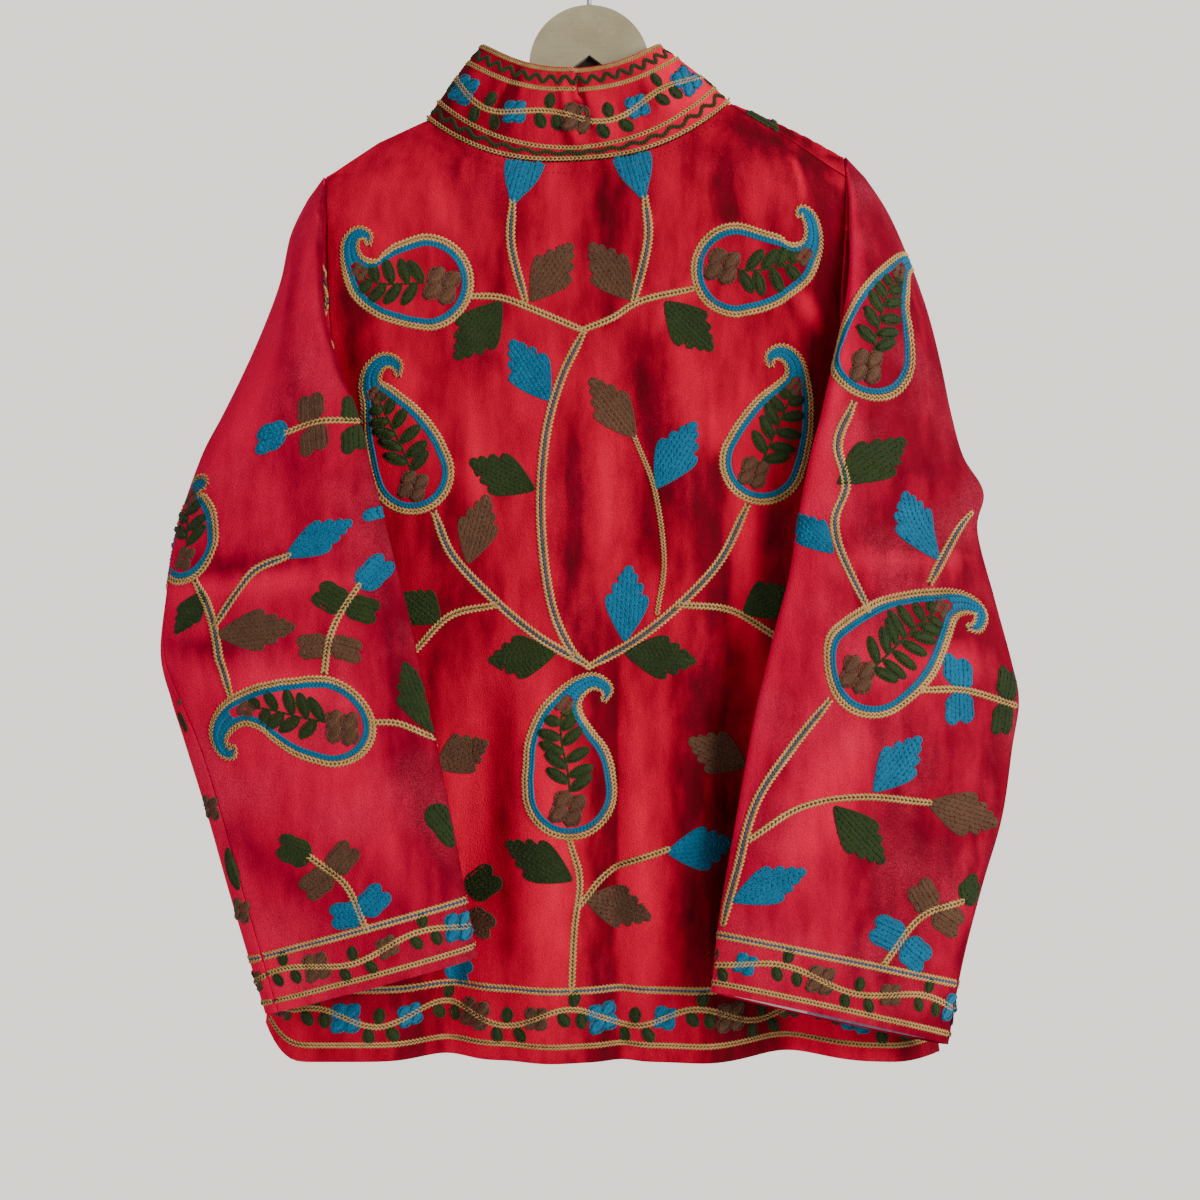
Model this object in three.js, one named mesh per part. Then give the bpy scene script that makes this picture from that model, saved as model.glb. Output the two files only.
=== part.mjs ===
// Embroidered velvet jacket with a band collar, hung on a flat hanger.
// Millimetres, +Z up. The origin is the inside top of the hanger's hook.
// The jacket's back faces -Y, its fronts face +Y, and left is the wearer's left, at -X.
import * as THREE from 'three';

// Cloth
const VELVET = 2.0; // thickness of a velvet wall
const SATIN = 1.2; // thickness of a lining wall
const SEAM = 0.3; // gap between two pieces at a seam
const HALF_WALL = VELVET / 2;

// Body
const BACK_DEPTH = 29; // how far the back stands off the middle plane
const FRONT_DEPTH = 27; // how far the fronts stand off it
const FRONT_SPREAD = 9; // and how much further they stand at the hem
const SHOULDER_ROUND = 58; // the cloth reaches that depth this far below the shoulder line
const SIDE_ROUND = 40; // and this far in from the side seam
const SHOULDER_Z = -150; // level at which the body's tables start
const HEM_Z = -854;
const HEM_CORNER = { from: 214, width: 34, rise: 24 }; // the left hem corner curls up
const UNDERARM = { left: -386, right: -380 };
const SEAM_BEHIND = { left: 0, right: 18 }; // at the sleeve, the shoulder seam lies this far down the back

// Neck and collar
const NECK = { centre: -10, half: 113, backDrop: 44, frontDrop: 82, backGap: 1.4, frontGap: 2.4 };
const COLLAR_TOP = { centre: -16, half: 65.5, depth: 24, sideZ: -100.5, backDrop: 23.7, frontDrop: 66 };
const COLLAR_BOW = 2.5; // the band bows out between its two edges
const FRONT_GAP = { collar: 3, hem: 16 }; // the front edges hang apart

// Cuff linings
const LINING_INSET = { flat: 2.8, edge: 6.5 }; // on the flat sides and at the two edges
const LINING_LENGTH = 0.07; // share of the sleeve that the lining reaches up
const NO_INSET = { flat: 0, edge: 0 };

// Hanger
const PLATE = { x: -2, thickness: 5, domeZ: -115, domeRadius: 45 };
const ARM = { bendX: 118, bendZ: -168, tipX: 166, tipZ: -206, tipRadius: 9, depth: 26, bottomZ: -180 };
const WINDOW = { apexZ: -107.5, baseZ: -138, half: 41 };
const HOOK = { wire: 1.9, inside: 17, shank: 20, turn: 205 };

// Shoulder line from the left sleeve head to the right one, seen square on.
const SHOULDER_LINE = [
  { x: -200, z: -199 },
  { x: -160, z: -173 },
  { x: -123, z: -156 },
  { x: 103, z: -143 },
  { x: 134, z: -156 },
  { x: 161, z: -169 },
  { x: 188, z: -184 },
];

// Outer edges of the body: the armholes, then the side seams.
const BODY_EDGES = [
  { z: -150, left: -200, right: 188 },
  { z: -199, left: -199, right: 188 },
  { z: -235, left: -195, right: 186 },
  { z: -290, left: -193, right: 182 },
  { z: -340, left: -190, right: 181 },
  { z: -386, left: -186, right: 184 },
  { z: -450, left: -192, right: 195 },
  { z: -550, left: -207, right: 213 },
  { z: -650, left: -222, right: 230 },
  { z: -750, left: -236, right: 246 },
  { z: -854, left: -246, right: 260 },
];

// Folds of the back. They run from (topX, topZ) to hemX at the hem; a positive depth is a
// trough. The depth grows to its full value over the length called grow.
const BACK_FOLDS = [
  { topX: -84, topZ: -470, hemX: -109, width: 25, depth: 25, grow: 330 },
  { topX: 96, topZ: -430, hemX: 147, width: 33, depth: 33, grow: 360 },
  { topX: -20, topZ: -300, hemX: -30, width: 24, depth: -6, grow: 160 },
  { topX: 12, topZ: -520, hemX: 22, width: 13, depth: 8, grow: 150 },
  { topX: -62, topZ: -560, hemX: -62, width: 17, depth: 4, grow: 160 },
  { topX: 58, topZ: -300, hemX: 84, width: 22, depth: -5, grow: 160 },
];

// Folds of the fronts, told the same way, with a positive depth towards the back.
const FRONT_FOLDS = [
  { topX: -120, topZ: -380, hemX: -150, width: 30, depth: 15, grow: 380 },
  { topX: 110, topZ: -420, hemX: 128, width: 28, depth: 17, grow: 360 },
  { topX: 52, topZ: -300, hemX: 66, width: 24, depth: -6, grow: 200 },
  { topX: -58, topZ: -340, hemX: -70, width: 22, depth: -5, grow: 200 },
];

// Sections of the sleeves from the sleeve head to the cuff: the outer edge, the inner edge,
// the half thickness of the flattened tube, and how much lower the far lip hangs.
const SLEEVE_COLUMNS = ['outerX', 'outerY', 'outerZ', 'innerX', 'innerY', 'innerZ', 'puff', 'lean'];
const SLEEVE_SECTIONS = {
  left: [
    [-212, -1, -216, -198, -26, -238, 7, 0],
    [-224, -4, -243, -196, -38, -275, 12, 0],
    [-231, -8, -279, -193, -46, -312, 16, 0],
    [-243, -13, -315, -183, -52, -346, 18, 0],
    [-257, -17, -349, -173, -54, -371, 19, 0],
    [-271, -22, -380, -166, -56, -392, 19, 0],
    [-286, -27, -412, -160, -58, -415, 18, 0],
    [-303, -31, -466, -151, -58, -451, 17, 0],
    [-310, -34, -516, -141, -58, -490, 16, 0],
    [-313, -36, -556, -131, -58, -530, 16, 0],
    [-305, -37, -588, -123, -58, -567, 16, 0],
    [-294, -38, -622, -116, -58, -598, 16, 0],
    [-277, -40, -675, -108, -58, -637, 16, 0],
    [-263, -42, -723, -100, -59, -677, 16, 0],
    [-247, -44, -775, -90, -61, -729, 17, 3],
    [-235, -45, -814, -82, -62, -770, 18, 5],
  ],
  right: [
    [204, -1, -200, 190, -26, -222, 7, 0],
    [220, -4, -226, 188, -38, -258, 12, 0],
    [235, -8, -262, 184, -46, -294, 16, 0],
    [248, -13, -302, 178, -51, -330, 18, 0],
    [257, -17, -341, 171, -54, -358, 19, 0],
    [264, -22, -380, 165, -56, -384, 19, 0],
    [272, -26, -411, 159, -58, -405, 18, 0],
    [286, -29, -437, 153, -58, -433, 18, 0],
    [281, -31, -465, 148, -58, -461, 17, 0],
    [293, -34, -515, 142, -58, -499, 16, 0],
    [305, -36, -561, 133, -58, -533, 16, 0],
    [310, -37, -589, 126, -58, -562, 16, 0],
    [305, -38, -622, 118, -58, -596, 16, 0],
    [297, -40, -673, 110, -58, -639, 16, 0],
    [282, -42, -723, 101, -59, -690, 17, 2],
    [267, -44, -779, 92, -61, -741, 18, 8],
    [257, -44, -832, 86, -62, -794, 19, 13],
  ],
};
const ARMHOLE_STEP = 3.4 * HALF_WALL + SEAM; // the sleeve's edge stands this far outside the body's
const HEAD_ROWS = 6; // the sleeve joins the armhole over this many sections
const HEAD_TURN = 0.47; // share of the armhole, in radians, along the very top of the sleeve
const INNER_SEAM_BEHIND = 1.28; // under the arm, the inner seam lies this far behind the inner edge
const HEAD_EASE = 0.3; // behind the inner edge, the cloth turns to the armhole over this turn
// The outer seam lies this far round the near side at the head and at the cuff, in radians. It
// turns from the one to the other over this stretch, in shares of the sleeve.
const OUTER_SEAM = { left: { head: 0.16, cuff: 0.53 }, right: { head: 0.16, cuff: 0.16 } };
const OUTER_SEAM_TWIST = { from: 0.52, over: 0.26 };
const INNER_SEAM_TURN = SEAM / 14; // the pieces end this far short of the inner seam
const TURN_REACH = 0.05;

const SURFACE = {
  velvet: { color: 0xb5122c, roughness: 0.92, metalness: 0 },
  sleeveVelvet: { color: 0xb8263c, roughness: 0.92, metalness: 0 },
  satin: { color: 0x77739c, roughness: 0.4, metalness: 0 },
  plate: { color: 0x9b8f6c, roughness: 0.6, metalness: 0 },
  steel: { color: 0xb4b6b8, roughness: 0.3, metalness: 1 },
};

const SIDE = { left: -1, right: 1 };
const clamp01 = (value) => Math.min(1, Math.max(0, value));
const mix = (a, b, share) => a + (b - a) * share;
const rise = (share) => Math.sin((Math.PI / 2) * clamp01(share));
const smooth = (share) => clamp01(share) ** 2 * (3 - 2 * clamp01(share));
const steps = (from, to, count) => Array.from({ length: count + 1 }, (_, i) => mix(from, to, i / count));

// Straight-line reading of a table of rows, by one of its columns.
function readTable(rows, key, at, column) {
  const forward = rows[rows.length - 1][key] > rows[0][key];
  let i = 0;
  while (i < rows.length - 2 && (forward ? rows[i + 1][key] < at : rows[i + 1][key] > at)) i += 1;
  const share = clamp01((at - rows[i][key]) / (rows[i + 1][key] - rows[i][key]));
  return mix(rows[i][column], rows[i + 1][column], share);
}

// Rounded reading of evenly counted rows at a place between two of them.
function readCurve(rows, place, column) {
  const i = Math.min(rows.length - 2, Math.max(0, Math.floor(place)));
  const t = place - i;
  const value = (k) => rows[Math.min(rows.length - 1, Math.max(0, k))][column];
  const [a, b, c, d] = [value(i - 1), value(i), value(i + 1), value(i + 2)];
  return b + 0.5 * t * (c - a + t * (2 * a - 5 * b + 4 * c - d + t * (3 * (b - c) + d - a)));
}

const shoulderZ = (x) => readTable(SHOULDER_LINE, 'x', x, 'z');
const bodyEdge = (side, z) => readTable(BODY_EDGES, 'z', z, side);
const neckShare = (x) => Math.min(1, Math.abs((x - NECK.centre) / NECK.half));
const backNeckZ = (x) => shoulderZ(x) - NECK.backDrop * (1 - neckShare(x) ** 2.6);
const frontNeckZ = (x) => shoulderZ(x) - NECK.frontDrop * (1 - neckShare(x) ** 2.2);
const shoulderTipZ = (side) => shoulderZ(bodyEdge(side, SHOULDER_Z));

// Sum of the folds of one sheet at a point.
function foldDepth(folds, x, z) {
  return folds.reduce((sum, fold) => {
    const middle = mix(fold.topX, fold.hemX, (fold.topZ - z) / (fold.topZ - HEM_Z));
    const shape = Math.exp(-(((x - middle) / fold.width) ** 2));
    return sum + fold.depth * shape * smooth((fold.topZ - z) / fold.grow);
  }, 0);
}

// How open the armhole is at a level: nothing at the shoulder and below the underarm.
function armholeShare(side, z) {
  const tip = shoulderTipZ(side);
  return Math.sin(Math.PI * clamp01((tip - z) / (tip - UNDERARM[side]))) ** 0.6;
}

// Depth of the back or front sheet, by distances below the shoulder and in from the edge.
function sheetY(face, x, z, x0) {
  const side = x < NECK.centre ? 'left' : 'right';
  const inward = Math.abs(bodyEdge(side, z) - x);
  const open = armholeShare(side, z);
  const calm = rise(inward / SIDE_ROUND);
  const round = mix(open, rise((shoulderZ(x0) - z) / SHOULDER_ROUND), calm);
  if (face === 'back') return -BACK_DEPTH * round + calm * foldDepth(BACK_FOLDS, x, z);
  const spread = FRONT_SPREAD * smooth((SHOULDER_Z - z) / (SHOULDER_Z - HEM_Z));
  return (FRONT_DEPTH + spread) * round - calm * foldDepth(FRONT_FOLDS, x, z);
}

function hemZ(x) {
  const corner = clamp01((-x - HEM_CORNER.from) / HEM_CORNER.width);
  return HEM_Z + HEM_CORNER.rise * corner ** 2;
}

// A closed wall round the middle surface that point(a, b) gives, from its sample places. Its
// slopes are read this reach to either side, past the seams too, which mitres them.
function clothWall(point, across, along, thickness, reach = 0.012) {
  const corners = [];
  const normalAt = (a, b) => {
    const alongA = point(a + reach, b).sub(point(a - reach, b));
    const alongB = point(a, b + reach / 2).sub(point(a, b - reach / 2));
    return alongA.cross(alongB).normalize();
  };
  for (const half of [thickness / 2, -thickness / 2]) {
    for (const b of along) {
      for (const a of across) {
        const corner = point(a, b).addScaledVector(normalAt(a, b), half);
        corners.push(corner);
      }
    }
  }
  const columns = across.length;
  const rows = along.length;
  const at = (layer, row, column) => (layer * rows + row) * columns + column;
  const triangles = [];
  const quad = (p, q, r, s) => triangles.push([p, q, r], [p, r, s]);
  for (let i = 0; i < rows - 1; i += 1) {
    for (let j = 0; j < columns - 1; j += 1) {
      quad(at(0, i, j), at(0, i, j + 1), at(0, i + 1, j + 1), at(0, i + 1, j));
      quad(at(1, i, j), at(1, i + 1, j), at(1, i + 1, j + 1), at(1, i, j + 1));
    }
  }
  for (let j = 0; j < columns - 1; j += 1) {
    quad(at(1, 0, j), at(1, 0, j + 1), at(0, 0, j + 1), at(0, 0, j));
    quad(at(0, rows - 1, j), at(0, rows - 1, j + 1), at(1, rows - 1, j + 1), at(1, rows - 1, j));
  }
  for (let i = 0; i < rows - 1; i += 1) {
    quad(at(0, i, 0), at(0, i + 1, 0), at(1, i + 1, 0), at(1, i, 0));
    quad(at(1, i, columns - 1), at(1, i + 1, columns - 1), at(0, i + 1, columns - 1), at(0, i, columns - 1));
  }
  return closedMesh(corners, triangles);
}

// Geometry from corners and triangles, turned so that its faces point out.
function closedMesh(corners, triangles) {
  const volume = triangles.reduce((sum, [p, q, r]) => {
    return sum + corners[p].dot(corners[q].clone().cross(corners[r]));
  }, 0);
  const faces = volume > 0 ? triangles : triangles.map(([p, q, r]) => [p, r, q]);
  const geometry = new THREE.BufferGeometry();
  const places = corners.flatMap((corner) => corner.toArray());
  geometry.setAttribute('position', new THREE.Float32BufferAttribute(places, 3));
  geometry.setIndex(faces.flat());
  geometry.computeVertexNormals();
  return geometry;
}

// A body sheet in shares: a from the left edge to the right one, b from the top to the hem.
// Past the shoulder or side seam it goes on over the other sheet, so the seams are mitred.
function bodyPoint(face, a, b, top) {
  const other = face === 'back' ? 'front' : 'back';
  const x0 = mix(bodyEdge('left', SHOULDER_Z), bodyEdge('right', SHOULDER_Z), clamp01(a));
  const seamZ = top(x0);
  const bottom = hemZ(mix(bodyEdge('left', HEM_Z), bodyEdge('right', HEM_Z), clamp01(a)));
  const z = mix(seamZ, bottom, b);
  if (z > shoulderZ(x0)) {
    const mirrored = 2 * shoulderZ(x0) - z;
    return new THREE.Vector3(x0, sheetY(other, x0, mirrored, x0), mirrored);
  }
  const side = a < 0.5 ? 'left' : 'right';
  const past = Math.max(0, -a, a - 1);
  const within = past > 0 && z > UNDERARM[side] ? clamp01(a) : a;
  const wrapped = within < 0 ? -within : within > 1 ? 2 - within : within;
  const x = mix(bodyEdge('left', z), bodyEdge('right', z), wrapped);
  const turned = wrapped !== within ? other : face;
  return new THREE.Vector3(x, sheetY(turned, x, z, x0), z);
}

// Share of the way across the shoulders at which a place lies.
const acrossShare = (x) => {
  const left = bodyEdge('left', SHOULDER_Z);
  return (x - left) / (bodyEdge('right', SHOULDER_Z) - left);
};
const seamShare = (length) => length / (bodyEdge('right', SHOULDER_Z) - bodyEdge('left', SHOULDER_Z));
const neckLeft = NECK.centre - NECK.half;
const neckRight = NECK.centre + NECK.half;
const inNeck = (x) => x > neckLeft && x < neckRight;

// How far down the back the shoulder seam lies: nothing at the neck, most at the sleeve.
function seamBehind(x) {
  const side = x < NECK.centre ? 'left' : 'right';
  const neckX = NECK.centre + SIDE[side] * NECK.half;
  const share = clamp01((x - neckX) / (bodyEdge(side, SHOULDER_Z) - neckX));
  return SEAM_BEHIND[side] * share ** 0.7;
}

// Rows are closer together near the shoulder than further down.
const downShares = (count) => steps(0, 1, count).map((share) => mix(share, share ** 1.7, 0.6));

function backPanel() {
  const top = (x) => Math.min(backNeckZ(x) - NECK.backGap, shoulderZ(x) - seamBehind(x) - SEAM);
  const edge = seamShare(SEAM);
  const across = [
    ...steps(edge, acrossShare(neckLeft), 7),
    ...steps(acrossShare(neckLeft), acrossShare(neckRight), 18).slice(1),
    ...steps(acrossShare(neckRight), 1 - edge, 7).slice(1),
  ];
  return clothWall((a, b) => bodyPoint('back', a, b, top), across, downShares(24), VELVET);
}

// The front edge hangs plumb from the neck and opens a little towards the hem.
function frontEdgeX(side, z) {
  const down = clamp01((SHOULDER_Z - z) / (SHOULDER_Z - HEM_Z));
  const middle = mix(NECK.centre, (bodyEdge('left', HEM_Z) + bodyEdge('right', HEM_Z)) / 2, down);
  return middle + (SIDE[side] * mix(FRONT_GAP.collar, FRONT_GAP.hem, down)) / 2;
}

// A front in shares: a from its armhole and side seam to the front edge, b from top to hem.
function frontPoint(side, a, b) {
  const x0 = mix(bodyEdge(side, SHOULDER_Z), frontEdgeX(side, SHOULDER_Z), clamp01(a));
  const over = inNeck(x0) ? 0 : seamBehind(x0);
  const seamZ = Math.min(inNeck(x0) ? frontNeckZ(x0) - NECK.frontGap : shoulderZ(x0), shoulderZ(x0) - SEAM);
  const length = seamZ - hemZ(mix(bodyEdge(side, HEM_Z), frontEdgeX(side, HEM_Z), clamp01(a)));
  const down = b * (length + over) - over;
  if (down < 0 || seamZ - down > shoulderZ(x0)) {
    const behind = shoulderZ(x0) - Math.abs(shoulderZ(x0) - (seamZ - down));
    return new THREE.Vector3(x0, sheetY('back', x0, behind, x0), behind);
  }
  const z = seamZ - down;
  const wraps = a < 0 && z < UNDERARM[side];
  const x = mix(bodyEdge(side, z), frontEdgeX(side, z), Math.abs(wraps ? a : Math.max(0, a)));
  return new THREE.Vector3(x, sheetY(wraps ? 'back' : 'front', x, z, x0), z);
}

function frontPanel(side) {
  const shoulderX = bodyEdge(side, SHOULDER_Z);
  const reach = Math.abs(frontEdgeX(side, SHOULDER_Z) - shoulderX);
  const neckX = side === 'left' ? neckLeft : neckRight;
  const neckAt = Math.abs(neckX - shoulderX) / reach;
  const across = [...steps(SEAM / reach, neckAt, 6), ...steps(neckAt, 1, 9).slice(1)];
  const start = SEAM_BEHIND[side] / (SHOULDER_Z - HEM_Z);
  const over = start > 0 ? steps(0, start, 3).slice(0, -1) : [];
  const along = [...over, ...downShares(19).map((share) => mix(start, 1, share))];
  return clothWall((a, b) => frontPoint(side, a, b), across, along, VELVET);
}

// The band collar: a turns from one front edge round the back of the neck to the other,
// and b climbs from the neck seam to the top edge.
function collarPoint(turn, climb) {
  const sideways = Math.sin(turn);
  const behind = Math.cos(turn) >= 0;
  const baseX = NECK.centre + NECK.half * sideways;
  const baseZ = behind ? backNeckZ(baseX) : frontNeckZ(baseX);
  const baseY = sheetY(behind ? 'back' : 'front', baseX, baseZ, baseX);
  const base = new THREE.Vector3(baseX, baseY, baseZ);
  const drop = behind ? COLLAR_TOP.backDrop * (1 - Math.abs(sideways) ** 2.2)
    : COLLAR_TOP.frontDrop * (1 - Math.abs(sideways) ** 2.2);
  const top = new THREE.Vector3(
    COLLAR_TOP.centre + COLLAR_TOP.half * sideways,
    -COLLAR_TOP.depth * Math.sign(Math.cos(turn)) * Math.abs(Math.cos(turn)) ** 0.8,
    COLLAR_TOP.sideZ - drop,
  );
  const bow = COLLAR_BOW * Math.sin(Math.PI * clamp01(climb));
  return base.lerp(top, climb).add(new THREE.Vector3(sideways * bow, -Math.cos(turn) * bow, 0));
}

function collar() {
  const frontHalfGap = FRONT_GAP.collar / NECK.half / 2;
  const turns = steps(-Math.PI + frontHalfGap, Math.PI - frontHalfGap, 36);
  const climbs = steps(0.03, 1, 4);
  return clothWall(collarPoint, turns, climbs, VELVET);
}

const sleeveRows = (side) => SLEEVE_SECTIONS[side].map((row) => {
  return Object.fromEntries(SLEEVE_COLUMNS.map((name, k) => [name, row[k]]));
});
const sleeveTable = { left: sleeveRows('left'), right: sleeveRows('right') };

// Edge of the sleeve along the back or front of the armhole, at a level.
function armholeEdge(side, face, z) {
  const x = bodyEdge(side, z);
  const y = sheetY(face, x, z, bodyEdge(side, SHOULDER_Z));
  return new THREE.Vector3(x + SIDE[side] * ARMHOLE_STEP, y, z);
}

// Top of the sleeve head, over the shoulder, for a turn from -PI (front) to PI (back).
function headPoint(side, turn) {
  const tip = shoulderTipZ(side);
  const middle = (tip + UNDERARM[side]) / 2;
  const z = middle + (tip - middle) * Math.cos((turn / Math.PI) * HEAD_TURN);
  return armholeEdge(side, turn >= 0 ? 'back' : 'front', z);
}

// A ring of the flattened sleeve tube at a place counted in rows of its table.
function sleeveRing(side, turn, place, inset) {
  const rows = sleeveTable[side];
  const read = (name) => readCurve(rows, place, name);
  const outer = new THREE.Vector3(read('outerX'), read('outerY'), read('outerZ'));
  const inner = new THREE.Vector3(read('innerX'), read('innerY'), read('innerZ'));
  const half = outer.clone().sub(inner).multiplyScalar(0.5);
  const narrower = 1 - inset.edge / half.length();
  const puff = read('puff') - inset.flat;
  const point = outer.add(inner).multiplyScalar(0.5);
  point.addScaledVector(half, Math.cos(turn) * narrower);
  point.y -= puff * Math.sin(turn);
  point.z += read('lean') * Math.sin(turn);
  return point;
}

// A section of the sleeve for a turn from -PI (inner seam) over the far side, the outer edge
// (0) and the near side back to PI. Down to the underarm its two ends lie on the armhole.
function sleeveSection(side, turn, place, inset) {
  const rowsBelowHead = place - (HEAD_ROWS - 1);
  const behind = INNER_SEAM_BEHIND * (1 - smooth(rowsBelowHead / 4));
  const ringTurn = turn * (1 + (Math.sign(turn) * behind) / Math.PI);
  const point = sleeveRing(side, ringTurn, place, inset);
  const tie = 1 - smooth(rowsBelowHead / 2.5);
  if (tie === 0) return point;
  const tip = shoulderTipZ(side);
  const joinZ = mix(tip, UNDERARM[side], clamp01((place + 1) / HEAD_ROWS));
  const end = armholeEdge(side, turn >= 0 ? 'back' : 'front', joinZ);
  const ringEnd = sleeveRing(side, Math.PI + behind, place, inset);
  const nearEnd = smooth((turn - Math.PI + HEAD_EASE) / HEAD_EASE);
  const hold = (turn >= 0 ? nearEnd : ((1 - Math.cos(turn)) / 2) ** 3) * tie;
  return point.addScaledVector(end.sub(ringEnd), hold);
}

// The sleeve in its turn and a share from the armhole (0) to the cuff (1).
function sleevePoint(side, turn, share, inset) {
  const wrapped = turn > Math.PI ? turn - 2 * Math.PI : turn < -Math.PI ? turn + 2 * Math.PI : turn;
  const place = Math.max(0, share) * sleeveTable[side].length - 1;
  const joined = place < HEAD_ROWS - 1 ? Math.max(-Math.PI, Math.min(Math.PI, turn)) : wrapped;
  if (place >= 0) return sleeveSection(side, joined, place, inset);
  return headPoint(side, joined).lerp(sleeveSection(side, joined, 0, inset), place + 1);
}

// Turn that takes a point of the sleeve half a seam's gap to the side.
function seamGapTurn(side, turn, share) {
  const step = 0.01;
  const before = sleevePoint(side, turn - step, share, NO_INSET);
  const after = sleevePoint(side, turn + step, share, NO_INSET);
  return (SEAM * step) / before.distanceTo(after);
}

// The near or far piece, in shares across from the outer seam to the inner one.
function sleevePiece(side, near) {
  const way = near ? 1 : -1;
  const surface = (across, share) => {
    const twist = smooth((share - OUTER_SEAM_TWIST.from) / OUTER_SEAM_TWIST.over);
    const outerSeam = mix(OUTER_SEAM[side].head, OUTER_SEAM[side].cuff, twist);
    const start = outerSeam + way * seamGapTurn(side, outerSeam, share);
    const end = way * (Math.PI - INNER_SEAM_TURN);
    return sleevePoint(side, mix(start, end, across), share, NO_INSET);
  };
  return clothWall(surface, steps(0, 1, 12), steps(0, 1, 23), VELVET, TURN_REACH / Math.PI);
}

function cuffLining(side) {
  const turns = steps(-Math.PI + 0.01, Math.PI - 0.01, 24);
  const shares = steps(1 - LINING_LENGTH, 0.997, 2);
  const surface = (turn, share) => sleevePoint(side, turn, share, LINING_INSET);
  return clothWall(surface, turns, shares, SATIN, TURN_REACH);
}

// Flat hanger: a dome over two sloping arms, with a three-cornered window.
function hangerPlate() {
  const outline = new THREE.Shape();
  const joinTurn = THREE.MathUtils.degToRad(195);
  const joinX = PLATE.domeRadius * Math.cos(joinTurn);
  const joinZ = PLATE.domeZ + PLATE.domeRadius * Math.sin(joinTurn);
  outline.moveTo(joinX, joinZ);
  outline.absarc(0, PLATE.domeZ, PLATE.domeRadius, joinTurn, Math.PI - joinTurn, true);
  outline.lineTo(ARM.bendX, ARM.bendZ);
  outline.lineTo(ARM.tipX, ARM.tipZ + ARM.tipRadius);
  outline.quadraticCurveTo(ARM.tipX + ARM.tipRadius, ARM.tipZ, ARM.tipX, ARM.tipZ - ARM.tipRadius);
  outline.lineTo(ARM.bendX, ARM.bendZ - ARM.depth);
  outline.quadraticCurveTo(0, ARM.bottomZ, -ARM.bendX, ARM.bendZ - ARM.depth);
  outline.lineTo(-ARM.tipX, ARM.tipZ - ARM.tipRadius);
  outline.quadraticCurveTo(-ARM.tipX - ARM.tipRadius, ARM.tipZ, -ARM.tipX, ARM.tipZ + ARM.tipRadius);
  outline.lineTo(-ARM.bendX, ARM.bendZ);
  outline.closePath();
  const cutout = new THREE.Path();
  cutout.moveTo(0, WINDOW.apexZ);
  cutout.lineTo(-WINDOW.half, WINDOW.baseZ);
  cutout.lineTo(WINDOW.half, WINDOW.baseZ);
  cutout.closePath();
  outline.holes.push(cutout);
  const options = { depth: PLATE.thickness, bevelEnabled: false, curveSegments: 20 };
  const geometry = new THREE.ExtrudeGeometry(outline, options);
  geometry.translate(0, 0, -PLATE.thickness / 2);
  geometry.rotateX(Math.PI / 2);
  geometry.translate(PLATE.x, 0, 0);
  return geometry;
}

// Wire hook: a shank from the plate, then an arc over the origin.
function hangerHook() {
  const radius = HOOK.inside + HOOK.wire;
  const centreZ = -HOOK.inside;
  const footZ = PLATE.domeZ + PLATE.domeRadius + SEAM;
  const route = [
    new THREE.Vector3(PLATE.x, 0, footZ),
    new THREE.Vector3(PLATE.x, 0, footZ + HOOK.shank * 0.35),
    new THREE.Vector3(PLATE.x + 1, 0, footZ + HOOK.shank * 0.75),
    new THREE.Vector3(PLATE.x + 8, 0, footZ + HOOK.shank * 1.35),
  ];
  for (const degrees of steps(-32, HOOK.turn, 15)) {
    const turn = THREE.MathUtils.degToRad(degrees);
    route.push(new THREE.Vector3(radius * Math.cos(turn), 0, centreZ + radius * Math.sin(turn)));
  }
  const section = new THREE.Shape();
  section.absarc(0, 0, HOOK.wire, 0, 2 * Math.PI, false);
  const path = new THREE.CatmullRomCurve3(route, false, 'centripetal');
  const options = { steps: 44, curveSegments: 6, bevelEnabled: false, extrudePath: path };
  return new THREE.ExtrudeGeometry(section, options);
}

const jacket = new THREE.Group();

function add(name, geometry, surface) {
  const mesh = new THREE.Mesh(geometry, new THREE.MeshStandardMaterial(surface));
  mesh.name = name;
  jacket.add(mesh);
}

add('back_panel', backPanel(), SURFACE.velvet);
add('collar', collar(), SURFACE.velvet);
for (const side of ['left', 'right']) {
  add(`front_panel_${side}`, frontPanel(side), SURFACE.velvet);
  add(`sleeve_${side}_back_piece`, sleevePiece(side, true), SURFACE.sleeveVelvet);
  add(`sleeve_${side}_front_piece`, sleevePiece(side, false), SURFACE.sleeveVelvet);
  add(`cuff_lining_${side}`, cuffLining(side), SURFACE.satin);
}
add('hanger_plate', hangerPlate(), SURFACE.plate);
add('hanger_hook', hangerHook(), SURFACE.steel);

export default jacket;
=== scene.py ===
"""Embroidered velvet jacket with a band collar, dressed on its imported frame.

The cut of the cloth is told in millimetres, +Z up, with the back facing -Y. The meshes are made
in metres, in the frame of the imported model.
"""

import logging
import math
from dataclasses import dataclass, field
from enum import Enum
from typing import Callable, Sequence

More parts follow.
